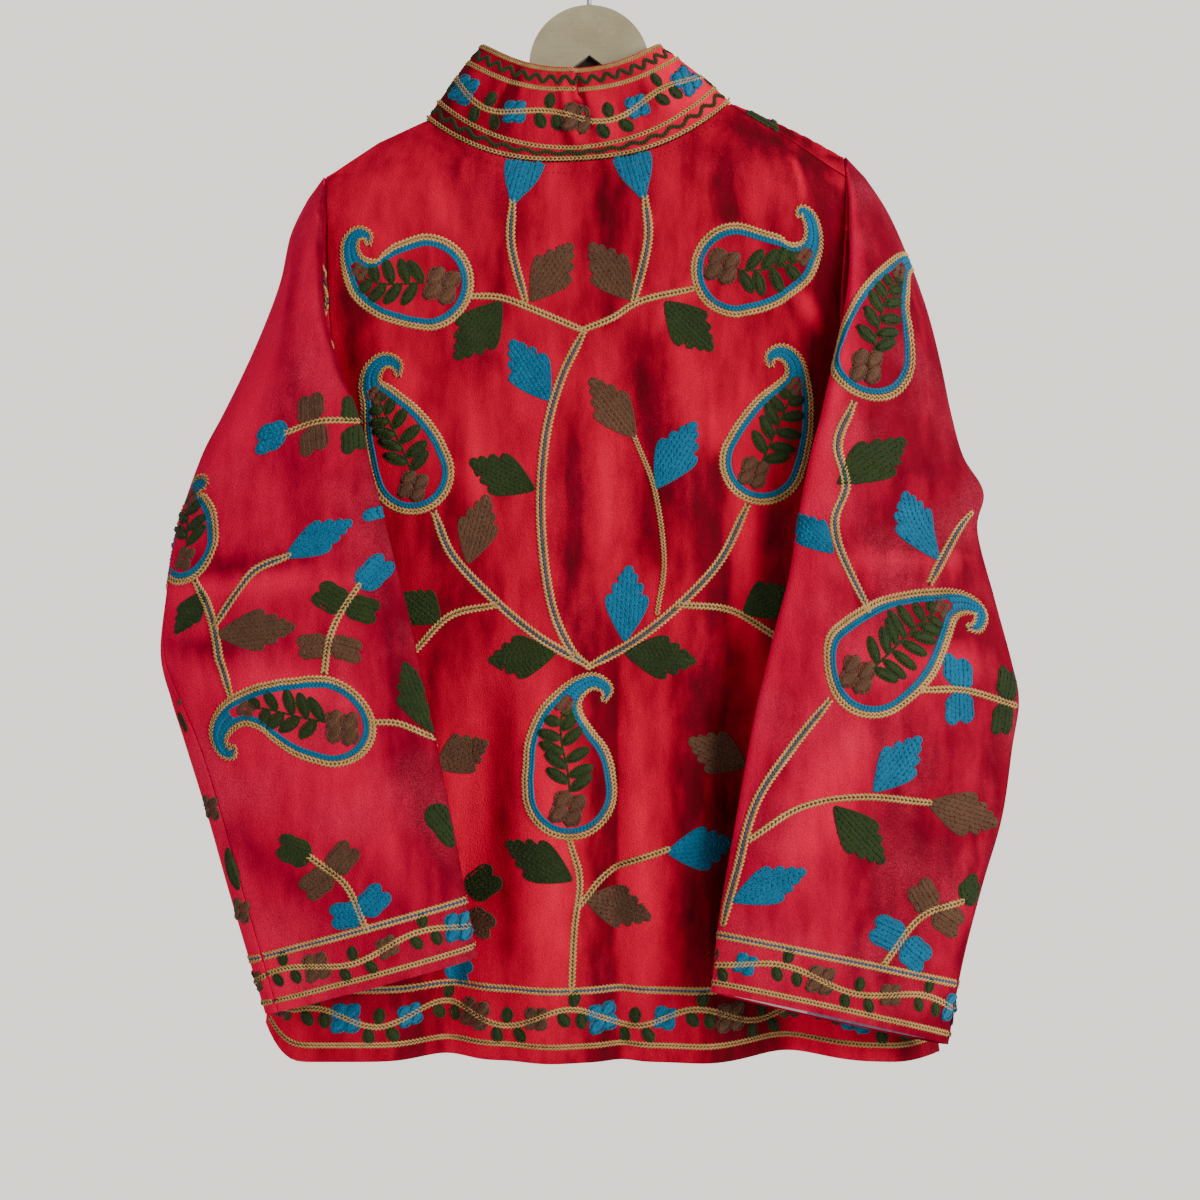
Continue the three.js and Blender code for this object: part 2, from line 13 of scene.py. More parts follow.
import bpy
import numpy as np
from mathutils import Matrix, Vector

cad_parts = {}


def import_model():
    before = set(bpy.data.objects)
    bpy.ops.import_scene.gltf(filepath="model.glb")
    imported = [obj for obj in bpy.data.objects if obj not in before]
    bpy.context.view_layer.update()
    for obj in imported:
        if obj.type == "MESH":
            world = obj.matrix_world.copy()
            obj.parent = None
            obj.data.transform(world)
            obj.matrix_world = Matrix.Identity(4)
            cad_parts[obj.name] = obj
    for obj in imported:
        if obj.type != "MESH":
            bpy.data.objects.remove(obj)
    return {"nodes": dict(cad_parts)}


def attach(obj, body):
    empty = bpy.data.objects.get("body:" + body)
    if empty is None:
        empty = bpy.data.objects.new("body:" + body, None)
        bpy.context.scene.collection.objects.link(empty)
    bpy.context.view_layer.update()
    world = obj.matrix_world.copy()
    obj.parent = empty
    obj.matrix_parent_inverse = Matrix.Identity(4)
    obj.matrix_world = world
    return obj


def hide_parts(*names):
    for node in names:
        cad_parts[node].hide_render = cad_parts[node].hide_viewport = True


log = logging.getLogger("jacket")

Socket, Node, Tree = bpy.types.NodeSocket, bpy.types.Node, bpy.types.NodeTree
Piece, Material = bpy.types.Object, bpy.types.Material
MM = 0.001
COLLAR_RUN = 88  # millimetres round the collar for a turn of one radian
COLLAR_HIGH = 70  # millimetres from the collar's seam to its rim
SLEEVE_RUN = 55  # millimetres round a sleeve for a turn of one radian
Array = np.ndarray
Colour = tuple[float, float, float]


class Side(Enum):
    """Wearer's side of the jacket, with the sign of its X."""

    LEFT = -1
    RIGHT = 1

    @property
    def word(self) -> str:
        """Name of the side as the frame writes it."""
        return self.name.lower()


class Face(Enum):
    """The two sheets of the body."""

    BACK = "back"
    FRONT = "front"


# Small sums


def clamp01(value: Array) -> Array:
    """Value held between 0 and 1."""
    return np.clip(value, 0.0, 1.0)


def smooth(share: Array) -> Array:
    """Soft step from 0 to 1."""
    held = clamp01(share)
    return held * held * (3 - 2 * held)


def rise(share: Array) -> Array:
    """Quarter sine from 0 to 1."""
    return np.sin(np.pi / 2 * clamp01(share))


def mix(a: Array, b: Array, share: Array) -> Array:
    """Straight blend of a and b."""
    return a + (b - a) * share


def unit(vectors: Array) -> Array:
    """Vectors brought to length one along the last axis."""
    length = np.linalg.norm(vectors, axis=-1, keepdims=True)
    return vectors / np.maximum(length, 1e-9)


def stack(*parts: Array) -> Array:
    """Coordinates put together as the last axis."""
    return np.stack(np.broadcast_arrays(*parts), axis=-1)


def between(values: Array, i: Array, j: Array, s: Array, t: Array) -> Array:
    """Straight-line reading between four neighbours of a grid, s down and t across."""
    upper = mix(values[i, j], values[i, j + 1], t)
    lower = mix(values[i + 1, j], values[i + 1, j + 1], t)
    return mix(upper, lower, s)


# Form of the hanging jacket


@dataclass(frozen=True)
class Fold:
    """A drape fold of the body, from (top_x, top_z) to hem_x at the hem; positive is a trough."""

    top_x: float
    top_z: float
    hem_x: float
    width: float
    depth: float
    grow: float


@dataclass(frozen=True)
class Crease:
    """A soft crease along a bowed line in flat millimetres; positive depth lies inward."""

    from_u: float
    from_v: float
    to_u: float
    to_v: float
    bow: float
    width: float
    depth: float


def crease_depth(creases: Sequence[Crease], u: Array, v: Array) -> Array:
    """Sum of creases at flat places.

    Args:
        creases: The creases of one piece of cloth.
        u: Places across, in millimetres.
        v: Places up, in millimetres.

    Returns:
        How far the cloth lies inward, in millimetres; for the painted streak tables, how much lighter the
        pile is painted.
    """
    total = np.zeros(np.broadcast(u, v).shape)
    for crease in creases:
        run = np.array([crease.to_u - crease.from_u, crease.to_v - crease.from_v])
        length = float(np.hypot(*run))
        along = ((u - crease.from_u) * run[0] + (v - crease.from_v) * run[1]) / length**2
        across = (-(u - crease.from_u) * run[1] + (v - crease.from_v) * run[0]) / length
        across = across - crease.bow * 4 * clamp01(along) * (1 - clamp01(along))
        ends = np.sin(np.pi * clamp01(along)) ** 0.8
        total += crease.depth * ends * np.exp(-((across / crease.width) ** 2))
    return total


BACK_FOLDS = tuple(Fold(*row) for row in (
    (-84, -470, -109, 25, 25, 330), (96, -430, 147, 33, 33, 360), (-20, -300, -30, 24, -6, 160),
    (12, -520, 22, 13, 8, 150), (-62, -560, -62, 17, 4, 160), (58, -300, 84, 22, -5, 160),
))
FRONT_FOLDS = tuple(Fold(*row) for row in (
    (-120, -380, -150, 30, 15, 380), (110, -420, 128, 28, 17, 360), (52, -300, 66, 24, -6, 200),
    (-58, -340, -70, 22, -5, 200),
))
BACK_CREASES = tuple(Crease(*row) for row in (
    (20, -540, 6, -800, 6, 5, 2.4), (4, -560, -22, -780, 5, 7, -1.8), (-66, -560, -76, -800, -5, 9, 2.2),
    (-100, -560, -116, -820, 6, 10, -1.8), (30, -300, 78, -262, -4, 9, -2.6),
    (44, -330, 120, -282, 5, 8, 1.8), (70, -205, 96, -262, 4, 9, -2.6), (88, -200, 118, -250, 3, 8, 2.0),
    (-96, -300, -84, -380, 4, 8, -1.9), (-130, -215, -96, -180, -4, 9, -1.7),
    (-60, -180, -52, -300, 5, 12, -1.4), (60, -420, 96, -620, 9, 13, -1.9),
    (96, -560, 120, -790, -7, 9, 1.8), (130, -330, 170, -430, -6, 10, 1.8),
    (-146, -330, -170, -440, 6, 10, 1.8), (-30, -350, -52, -520, 7, 11, -1.4),
    (150, -600, 186, -780, 6, 12, -1.8), (-150, -640, -166, -800, -5, 12, -1.6),
    (-128, -560, -90, -600, 4, 8, 1.2),
))
FRONT_CREASES = tuple(Crease(*row) for row in (
    (-160, -230, -110, -200, -4, 10, 2.0), (-150, -330, -96, -300, 6, 10, 1.8),
    (150, -240, 112, -206, 4, 9, -1.9), (158, -350, 96, -318, -6, 11, 2.1),
    (-64, -300, -80, -560, 8, 12, -2.0), (60, -260, 74, -520, -7, 12, -2.1),
    (-120, -500, -142, -800, 6, 10, 1.8), (120, -480, 134, -790, -6, 10, 2.0),
    (-30, -420, -36, -760, 4, 9, 1.4), (30, -400, 40, -740, -4, 10, 1.5),
    (-180, -470, -196, -760, -7, 11, -1.7), (178, -460, 200, -760, 7, 12, -1.8),
))
# Painted light and dark streaks of the velvet, listed as creases whose depth is how much lighter (positive)
# or darker (negative) the pile is painted along the folds.
BACK_PAINTED_STREAKS = tuple(Crease(*row) for row in (
    (8, -312, 4, -520, 3, 13, 0.34), (-14, -380, -14, -520, 2, 5, -0.3),
    (34, -300, 50, -500, 5, 15, -0.42), (60, -316, 92, -410, -4, 17, 0.3),
    (86, -395, 92, -530, 3, 12, -0.26), (106, -430, 112, -560, 4, 11, 0.28),
    (134, -440, 150, -600, -4, 15, -0.4), (144, -285, 174, -330, 4, 7, 0.42),
    (97, -180, 98, -240, 3, 9, -0.36), (146, -185, 155, -226, 2, 3, 0.5),
    (118, -180, 126, -236, 4, 16, 0.16), (40, -330, 82, -276, 3, 8, 0.3),
    (-84, -340, -80, -480, -3, 10, 0.36), (-104, -560, -98, -830, 4, 15, 0.38),
    (-60, -560, -60, -800, -3, 10, -0.46), (-22, -520, -20, -860, 2, 24, 0.34),
    (13, -530, 14, -770, 2, 4.5, -0.5), (32, -560, 34, -850, 3, 13, 0.2),
    (60, -540, 66, -840, 4, 12, -0.34), (98, -600, 118, -850, -4, 20, 0.24),
    (160, -520, 190, -860, 5, 22, -0.34), (-30, -170, -34, -300, 4, 24, 0.12),
    (-60, -200, -64, -330, -4, 9, -0.2), (10, -180, 12, -300, 2, 10, -0.16),
    (-110, -200, -116, -250, 3, 14, 0.2), (-150, -560, -164, -850, -5, 22, -0.36),
    (-180, -230, -176, -420, 4, 14, -0.4), (172, -220, 170, -420, 4, 12, -0.4),
))
FRONT_PAINTED_STREAKS = tuple(Crease(*row) for row in (
    (100, -146, 194, -186, 0, 16, -0.6), (-150, -240, -110, -470, 7, 16, 0.3),
    (-90, -300, -72, -560, 5, 12, -0.32), (-120, -520, -136, -840, 6, 18, 0.3),
    (-180, -480, -206, -850, -7, 16, -0.3), (70, -260, 84, -520, -6, 14, -0.3),
    (118, -300, 104, -480, 5, 17, 0.3), (130, -520, 150, -850, 6, 20, 0.28),
    (186, -500, 214, -850, -6, 15, -0.32), (-46, -420, -52, -800, 3, 11, 0.22),
    (52, -520, 60, -820, -3, 11, 0.24),
))
COLLAR_PAINTED_STREAKS = tuple(Crease(*row) for row in (
    (-92, 2, -84, 70, 4, 14, 0.25), (-50, 4, -46, 70, 3, 7, -0.32), (-22, 2, -18, 70, 3, 12, 0.18),
    (11, 16, 4, 76, 1, 4, -0.4), (24, 0, 20, 70, 2, 10, 0.28), (64, 4, 56, 70, 3, 9, -0.2),
    (104, 2, 96, 70, 4, 15, 0.28),
))
COLLAR_CREASES = tuple(Crease(*row) for row in (
    (-58, 4, -52, 66, 3, 4, 1.6), (-46, 8, -44, 62, -2, 6, -1.2), (2, 2, -8, 68, 3, 3.2, -1.5),
    (12, 4, 4, 66, 3, 4, 1.0), (74, 10, 80, 60, -3, 8, 1.2), (-130, 8, -126, 60, 4, 9, 1.3),
    (150, 6, 158, 60, -4, 10, -1.2), (-200, 6, -206, 58, 4, 10, -1.2),
))


@dataclass(frozen=True)
class JacketForm:
    """Sizes of the hanging jacket in millimetres, and the run of its cloth."""

    velvet: float = 2.0
    seam: float = 0.3
    back_depth: float = 29
    front_depth: float = 27
    front_spread: float = 9
    shoulder_round: float = 58
    side_round: float = 40
    shoulder_top: float = -150
    hem: float = -854
    hem_corner_from: float = 214
    hem_corner_width: float = 34
    hem_corner_rise: float = 24
    neck_x: float = -10
    neck_half: float = 113
    back_neck_drop: float = 44
    front_neck_drop: float = 82
    collar_x: float = -16
    collar_half: float = 65.5
    collar_depth: float = 24
    collar_side: float = -100.5
    collar_back_drop: float = 23.7
    collar_front_drop: float = 66
    collar_bow: float = 2.5
    front_gap_collar: float = 3
    front_gap_hem: float = 16
    shoulder_x: tuple[float, ...] = (-200, -160, -123, 103, 134, 161, 188)
    shoulder_line: tuple[float, ...] = (-199, -173, -156, -143, -156, -169, -184)
    edge_z: tuple[float, ...] = (-150, -199, -235, -290, -340, -386, -450, -550, -650, -750, -854)
    edge_left: tuple[float, ...] = (-200, -199, -195, -193, -190, -186, -192, -207, -222, -236, -246)
    edge_right: tuple[float, ...] = (188, 188, 186, 182, 181, 184, 195, 213, 230, 246, 260)

    def underarm(self, side: Side) -> float:
        """Level of the underarm."""
        return -386 if side is Side.LEFT else -380

    def shoulder_z(self, x: Array) -> Array:
        """Level of the shoulder line."""
        return np.interp(x, self.shoulder_x, self.shoulder_line)

    def edge_x(self, side: Side, z: Array) -> Array:
        """Outer edge of the body: the armhole, then the side seam."""
        edge = self.edge_left if side is Side.LEFT else self.edge_right
        return np.interp(-np.asarray(z, float), [-level for level in self.edge_z], edge)

    def tip(self, side: Side) -> float:
        """Level of the shoulder's outer end."""
        return float(self.shoulder_z(self.edge_x(side, self.shoulder_top)))

    def neck_z(self, face: Face, x: Array) -> Array:
        """Level of the neck seam."""
        share = np.minimum(1, np.abs((x - self.neck_x) / self.neck_half))
        if face is Face.BACK:
            return self.shoulder_z(x) - self.back_neck_drop * (1 - share**2.6)
        return self.shoulder_z(x) - self.front_neck_drop * (1 - share**2.2)

    def armhole_share(self, side: Side, z: Array) -> Array:
        """How open the armhole is: nothing at the shoulder and below the underarm."""
        tip = self.tip(side)
        return np.sin(np.pi * clamp01((tip - z) / (tip - self.underarm(side)))) ** 0.6

    def fold_depth(self, face: Face, x: Array, z: Array) -> Array:
        """Sum of the drape folds of one sheet."""
        total = 0.0
        for fold in BACK_FOLDS if face is Face.BACK else FRONT_FOLDS:
            down = (fold.top_z - z) / (fold.top_z - self.hem)
            middle = mix(fold.top_x, fold.hem_x, down)
            shape = np.exp(-(((x - middle) / fold.width) ** 2))
            total = total + fold.depth * shape * smooth((fold.top_z - z) / fold.grow)
        return total

    def sheet_y(self, face: Face, x: Array, z: Array, x0: Array) -> Array:
        """Depth of the back or front sheet.

        Args:
            face: The sheet.
            x: Places across.
            z: Levels.
            x0: Where the cloth at each place leaves the shoulder line.

        Returns:
            The Y of the middle of the wall, with its creases.
        """
        left = x < self.neck_x
        edge = np.where(left, self.edge_x(Side.LEFT, z), self.edge_x(Side.RIGHT, z))
        open_left = self.armhole_share(Side.LEFT, z)
        opened = np.where(left, open_left, self.armhole_share(Side.RIGHT, z))
        inward = np.abs(edge - x)
        calm = rise(inward / self.side_round)
        below = self.shoulder_z(x0) - z
        around = mix(opened, rise(below / self.shoulder_round), calm)
        held = smooth(inward / 26) * smooth(below / 24)
        if face is Face.BACK:
            creases = held * crease_depth(BACK_CREASES, x, z)
            return -self.back_depth * around + calm * self.fold_depth(face, x, z) + creases
        spread = self.front_spread * smooth((self.shoulder_top - z) / (self.shoulder_top - self.hem))
        creases = held * crease_depth(FRONT_CREASES, x, z)
        return (self.front_depth + spread) * around - calm * self.fold_depth(face, x, z) - creases

    def either_y(self, behind: Array, x: Array, z: Array, x0: Array) -> Array:
        """Depth of the back sheet where behind, and of the front one elsewhere."""
        return np.where(behind, self.sheet_y(Face.BACK, x, z, x0), self.sheet_y(Face.FRONT, x, z, x0))

    def hem_z(self, x: Array) -> Array:
        """Level of the hem, which curls up at the left corner."""
        corner = clamp01((-x - self.hem_corner_from) / self.hem_corner_width)
        return self.hem + self.hem_corner_rise * corner**2

    def seam_behind(self, x: Array) -> Array:
        """How far down the back the right shoulder seam lies."""
        neck = self.neck_x + self.neck_half
        share = clamp01((x - neck) / (self.edge_x(Side.RIGHT, self.shoulder_top) - neck))
        return 18 * share**0.7

    def in_neck(self, x: Array) -> Array:
        """Whether a place lies within the neck."""
        return np.abs(x - self.neck_x) < self.neck_half

    def back_point(self, a: Array, b: Array) -> Array:
        """Middle of the back's wall.

        Args:
            a: Shares from the left edge to the right one, which may run past them.
            b: Shares from the top to the hem, which may run past the top.

        Returns:
            Points in millimetres.
        """
        left, right = Side.LEFT, Side.RIGHT
        top_level = self.shoulder_top
        x0 = mix(self.edge_x(left, top_level), self.edge_x(right, top_level), clamp01(a))
        shoulder = self.shoulder_z(x0)
        seam = np.minimum(self.neck_z(Face.BACK, x0) - 0.4, shoulder - self.seam_behind(x0) - self.seam)
        bottom = self.hem_z(mix(self.edge_x(left, self.hem), self.edge_x(right, self.hem), clamp01(a)))
        z = mix(seam, bottom, b)
        over = z > shoulder
        z = np.where(over, 2 * shoulder - z, z)
        under = np.where(a < 0.5, self.underarm(left), self.underarm(right))
        past = (a < 0) | (a > 1)
        within = np.where(past & (z > under), clamp01(a), a)
        wrapped = np.where(within < 0, -within, np.where(within > 1, 2 - within, within))
        x = mix(self.edge_x(left, z), self.edge_x(right, z), wrapped)
        x = np.where(over, x0, x)
        turned = over | (wrapped != within)
        return stack(x, self.either_y(~turned, x, z, x0), z)

    def front_edge(self, side: Side, z: Array) -> Array:
        """The front edge, which opens a little towards the hem."""
        down = clamp01((self.shoulder_top - z) / (self.shoulder_top - self.hem))
        hem_middle = (self.edge_x(Side.LEFT, self.hem) + self.edge_x(Side.RIGHT, self.hem)) / 2
        gap = mix(self.front_gap_collar, self.front_gap_hem, down)
        return mix(self.neck_x, hem_middle, down) + side.value * gap / 2

    def front_point(self, side: Side, a: Array, b: Array) -> Array:
        """Middle of a front's wall.

        Args:
            side: The wearer's side.
            a: Shares from the armhole and side seam to the front edge.
            b: Shares from the shoulder seam or neck to the hem.

        Returns:
            Points in millimetres.
        """
        top_level = self.shoulder_top
        x0 = mix(self.edge_x(side, top_level), self.front_edge(side, top_level), clamp01(a))
        shoulder = self.shoulder_z(x0)
        inside = self.in_neck(x0)
        behind = self.seam_behind(x0) if side is Side.RIGHT else 0.0
        over = np.where(inside, 0.0, behind)
        seam = np.where(inside, self.neck_z(Face.FRONT, x0) - 0.6, shoulder)
        seam = np.minimum(seam, shoulder - self.seam)
        hem_x = mix(self.edge_x(side, self.hem), self.front_edge(side, self.hem), clamp01(a))
        length = seam - self.hem_z(hem_x)
        down = b * (length + over) - over
        z = seam - down
        turned = (down < 0) | (z > shoulder)
        z = np.where(turned, shoulder - np.abs(shoulder - z), z)
        wraps = (a < 0) & (z < self.underarm(side))
        share = np.abs(np.where(wraps, a, np.maximum(0, a)))
        x = mix(self.edge_x(side, z), self.front_edge(side, z), share)
        x = np.where(turned, x0, x)
        return stack(x, self.either_y(turned | wraps, x, z, x0), z)

    def collar_point(self, turn: Array, climb: Array) -> Array:
        """Middle of the collar's wall.

        Args:
            turn: Turn round the neck, with 0 at the centre of the back.
            climb: Share from the neck seam to the top edge.

        Returns:
            Points in millimetres.
        """
        sideways, ahead = np.sin(turn), np.cos(turn)
        behind = ahead >= 0
        x = self.neck_x + self.neck_half * sideways
        z = np.where(behind, self.neck_z(Face.BACK, x), self.neck_z(Face.FRONT, x))
        y = self.either_y(behind, x, z, x)
        full_drop = np.where(behind, self.collar_back_drop, self.collar_front_drop)
        drop = full_drop * (1 - np.abs(sideways) ** 2.2)
        top_y = -self.collar_depth * np.sign(ahead) * np.abs(ahead) ** 0.8
        top = stack(self.collar_x + self.collar_half * sideways, top_y, self.collar_side - drop)
        bow = self.collar_bow * np.sin(np.pi * clamp01(climb))
        u = turn * COLLAR_RUN
        creases = crease_depth(COLLAR_CREASES, u, climb * COLLAR_HIGH) + self.collar_step(u, climb)
        out = (bow - creases)[..., None] * stack(sideways, -ahead, np.zeros_like(turn))
        return mix(stack(x, y, z), top, climb[..., None]) + out

    def collar_step(self, u: Array, climb: Array) -> Array:
        """Sharp lap by the centre back of the collar, where its left part stands proud."""
        across = u - mix(10.5, 1.5, climb)
        lap = np.where(across < 0, -1.7 * np.exp(across / 20), 0.9 * np.exp(-across / 14))
        return lap * smooth((climb - 0.2) / 0.25)


@dataclass(frozen=True)
class SleeveForm:
    """One sleeve as a flattened tube: its sections, and how its head joins the armhole."""

    side: Side
    body: JacketForm
    sections: tuple[tuple[float, ...], ...]
    creases: tuple[Crease, ...]
    armhole_step: float = 1.5
    head_rows: int = 6
    head_turn: float = 0.47
    inner_seam_behind: float = 1.28
    head_ease: float = 0.3
    cuff_seam_turn: float = 0.16
    head_seam_turn: float = 0.16

    def outer_seam(self, share: Array) -> Array:
        """Turn of the outer seam at a share down the sleeve."""
        return mix(self.head_seam_turn, self.cuff_seam_turn, smooth((share - 0.52) / 0.26))

    def armhole_edge(self, face: Face, z: Array) -> Array:
        """Edge of the sleeve along the armhole at a level."""
        x = self.body.edge_x(self.side, z)
        shoulder = self.body.edge_x(self.side, self.body.shoulder_top)
        y = self.body.sheet_y(face, x, z, shoulder)
        return stack(x + self.side.value * self.armhole_step, y, z)

    def armhole_at(self, near: Array, z: Array) -> Array:
        """Edge of the sleeve at a level, on the back where near and on the front elsewhere."""
        back, front = (self.armhole_edge(face, z) for face in (Face.BACK, Face.FRONT))
        return np.where(near[..., None], back, front)

    def read(self, column: int, place: float) -> float:
        """Rounded reading of a column of the sections at a place between two rows."""
        rows = self.sections
        i = min(len(rows) - 2, max(0, math.floor(place)))
        t = place - i
        a, b, c, d = (rows[min(len(rows) - 1, max(0, k))][column] for k in (i - 1, i, i + 1, i + 2))
        return b + 0.5 * t * (c - a + t * (2 * a - 5 * b + 4 * c - d + t * (3 * (b - c) + d - a)))

    def ring(self, turn: Array, place: float, inset: tuple[float, float]) -> Array:
        """A ring of the flattened tube.

        Args:
            turn: Turns round the tube.
            place: Place counted in rows of the sections.
            inset: How far inside it lies on the flat sides and at the two edges.

        Returns:
            Points in millimetres.
        """
        outer = np.array([self.read(column, place) for column in range(3)])
        inner = np.array([self.read(column, place) for column in range(3, 6)])
        half = (outer - inner) / 2
        narrower = 1 - inset[1] / np.linalg.norm(half)
        points = (outer + inner) / 2 + half * (np.cos(turn) * narrower)[..., None]
        points[..., 1] -= (self.read(6, place) - inset[0]) * np.sin(turn)
        points[..., 2] += self.read(7, place) * np.sin(turn)
        return points

    def section(self, turn: Array, place: float, inset: tuple[float, float]) -> Array:
        """A section of the sleeve, whose ends lie on the armhole down to the underarm."""
        below = place - (self.head_rows - 1)
        behind = self.inner_seam_behind * (1 - float(smooth(below / 4)))
        points = self.ring(turn * (1 + np.sign(turn) * behind / np.pi), place, inset)
        tie = 1 - float(smooth(below / 2.5))
        if tie == 0:
            return points
        tip = self.body.tip(self.side)
        join = mix(tip, self.body.underarm(self.side), float(clamp01((place + 1) / self.head_rows)))
        near = turn >= 0
        end = self.armhole_at(near, join)
        ring_end = self.ring(np.array(np.pi + behind), place, inset)
        near_end = smooth((turn - np.pi + self.head_ease) / self.head_ease)
        hold = np.where(near, near_end, ((1 - np.cos(turn)) / 2) ** 3) * tie
        return points + (end - ring_end) * hold[..., None]

    def head(self, turn: Array) -> Array:
        """Top of the sleeve head over the shoulder."""
        tip = self.body.tip(self.side)
        middle = (tip + self.body.underarm(self.side)) / 2
        z = middle + (tip - middle) * np.cos(turn / np.pi * self.head_turn)
        return self.armhole_at(turn >= 0, z)

    def across(self, turn: Array, share: float, inset: tuple[float, float] = (0, 0)) -> Array:
        """Points of the sleeve round its tube at a share from the armhole to the cuff."""
        place = share * len(self.sections) - 1
        if place >= 0:
            return self.section(turn, place, inset)
        return mix(self.head(turn), self.section(turn, 0, inset), place + 1)


LEFT_SECTIONS = (
    (-212, -1, -216, -198, -26, -238, 7, 0),
    (-224, -4, -243, -196, -38, -275, 12, 0),
    (-231, -8, -279, -193, -46, -312, 16, 0),
    (-243, -13, -315, -183, -52, -346, 18, 0),
    (-257, -17, -349, -173, -54, -371, 19, 0),
    (-271, -22, -380, -166, -56, -392, 19, 0),
    (-286, -27, -412, -160, -58, -415, 18, 0),
    (-303, -31, -466, -151, -58, -451, 17, 0),
    (-310, -34, -516, -141, -58, -490, 16, 0),
    (-313, -36, -556, -131, -58, -530, 16, 0),
    (-305, -37, -588, -123, -58, -567, 16, 0),
    (-294, -38, -622, -116, -58, -598, 16, 0),
    (-277, -40, -675, -108, -58, -637, 16, 0),
    (-263, -42, -723, -100, -59, -677, 16, 0),
    (-247, -44, -775, -90, -61, -729, 16, 1),
    (-235, -45, -814, -82, -62, -770, 16, 0.6),
)
RIGHT_SECTIONS = (
    (204, -1, -200, 190, -26, -222, 7, 0),
    (220, -4, -226, 188, -38, -258, 12, 0),
    (235, -8, -262, 184, -46, -294, 16, 0),
    (248, -13, -302, 178, -51, -330, 18, 0),
    (257, -17, -341, 171, -54, -358, 19, 0),
    (264, -22, -380, 165, -56, -384, 19, 0),
    (272, -26, -411, 159, -58, -405, 18, 0),
    (286, -29, -437, 153, -58, -433, 18, 0),
    (281, -31, -465, 148, -58, -461, 17, 0),
    (293, -34, -515, 142, -58, -499, 16, 0),
    (305, -36, -561, 133, -58, -533, 16, 0),
    (310, -37, -589, 126, -58, -562, 16, 0),
    (305, -38, -622, 118, -58, -596, 16, 0),
    (297, -40, -673, 110, -58, -639, 16, 0),
    (282, -42, -723, 101, -59, -690, 17, 2),
    (267, -44, -780, 92, -61, -742, 18, 3.5),
    (257, -44, -837, 86, -62, -795, 19, 5.6),
)
# Painted light and dark streaks of both sleeves, listed the same way.
SLEEVE_PAINTED_STREAKS = tuple(Crease(*row) for row in (
    (14, -40, 40, -240, 6, 12, 0.24), (50, -60, 70, -250, -5, 11, -0.26), (96, -60, 104, -240, 4, 13, 0.2),
    (6, -286, 110, -300, -8, 9, -0.36), (8, -312, 130, -330, 6, 9, 0.3),
    (10, -346, 96, -362, -5, 8, -0.34), (24, -380, 130, -420, 8, 12, 0.26),
    (30, -470, 96, -560, -8, 12, -0.24), (88, -430, 118, -570, 6, 14, 0.26),
    (16, -540, 40, -640, 5, 14, 0.22), (140, -380, 150, -600, -5, 12, -0.24),
    (-18, -60, -52, -250, -7, 12, -0.26), (-70, -80, -92, -250, 6, 14, 0.24),
    (-8, -300, -110, -306, 7, 10, -0.3), (-12, -345, -116, -362, -6, 11, 0.28),
    (-40, -420, -110, -540, 7, 13, -0.26), (-96, -460, -66, -620, 6, 14, 0.24),
))
LEFT_SLEEVE_CREASES = tuple(Crease(*row) for row in (
    (20, -80, 60, -250, 8, 9, 1.8), (60, -60, 84, -230, -6, 11, -1.9), (8, -300, 96, -262, -8, 8, 2.0),
    (12, -330, 120, -318, 7, 9, -2.0), (10, -352, 90, -372, -6, 7, 2.1), (70, -350, 150, -300, 7, 9, 1.7),
    (14, -392, 110, -430, 8, 10, -1.8), (40, -470, 120, -540, -9, 11, 1.7),
    (110, -420, 128, -560, 6, 12, -1.7), (30, -540, 70, -640, 7, 11, -1.5),
    (-20, -100, -60, -260, -8, 11, 1.9), (-12, -310, -100, -290, 8, 9, 1.9),
    (-14, -345, -110, -372, -7, 9, -1.9), (-40, -420, -120, -520, 8, 12, 1.8),
    (-90, -520, -60, -640, 6, 12, -1.6),
))
RIGHT_SLEEVE_CREASES = tuple(Crease(*row) for row in (
    (-20, -70, -62, -240, 8, 9, 1.9), (-66, -60, -90, -220, -6, 11, -1.8),
    (-6, -252, -96, -240, 8, 8, 2.2), (-8, -276, -120, -292, -7, 9, -2.0),
    (-10, -318, -100, -346, 6, 8, 2.0), (-12, -352, -140, -330, 7, 9, -1.7),
    (-14, -384, -96, -440, -8, 9, 1.9), (-52, -470, -118, -560, 9, 12, -1.8),
    (-112, -400, -132, -560, 6, 12, 1.5), (-30, -560, -74, -650, 7, 11, 1.5),
    (20, -90, 60, -250, -8, 11, 1.8), (12, -290, 104, -270, 8, 9, -1.9), (14, -330, 110, -356, -7, 9, 1.9),
    (40, -420, 120, -520, 8, 12, -1.7), (92, -520, 62, -640, 6, 12, 1.6),
))


# Cloth as a lattice of points


class Lattice:
    """A surface of cloth over flat millimetres, read between its points."""

    def __init__(self, u: Array, v: Array, points: Array) -> None:
        """Keeps evenly spaced flat places u across and v up, and their points."""
        self.u, self.v, self.points = u, v, points
        step_u, step_v = u[1] - u[0], v[1] - v[0]
        self.along_v = np.gradient(points, step_v, axis=0)
        self.along_u = np.gradient(points, step_u, axis=1)

    def read(self, values: Array, u: Array, v: Array) -> Array:
        """Straight-line reading of a lattice of values at flat places."""
        at_u = np.clip((u - self.u[0]) / (self.u[1] - self.u[0]), 0, len(self.u) - 1.001)
        at_v = np.clip((v - self.v[0]) / (self.v[1] - self.v[0]), 0, len(self.v) - 1.001)
        i, j = at_v.astype(int), at_u.astype(int)
        s, t = (at_v - i)[..., None], (at_u - j)[..., None]
        return between(values, i, j, s, t)

    def frames(self, u: Array, v: Array) -> tuple[Array, Array, Array, Array]:
        """Points, directions across and up, and outward normals at flat places."""
        across = self.read(self.along_u, u, v)
        up = self.read(self.along_v, u, v)
        return self.read(self.points, u, v), across, up, unit(np.cross(across, up))


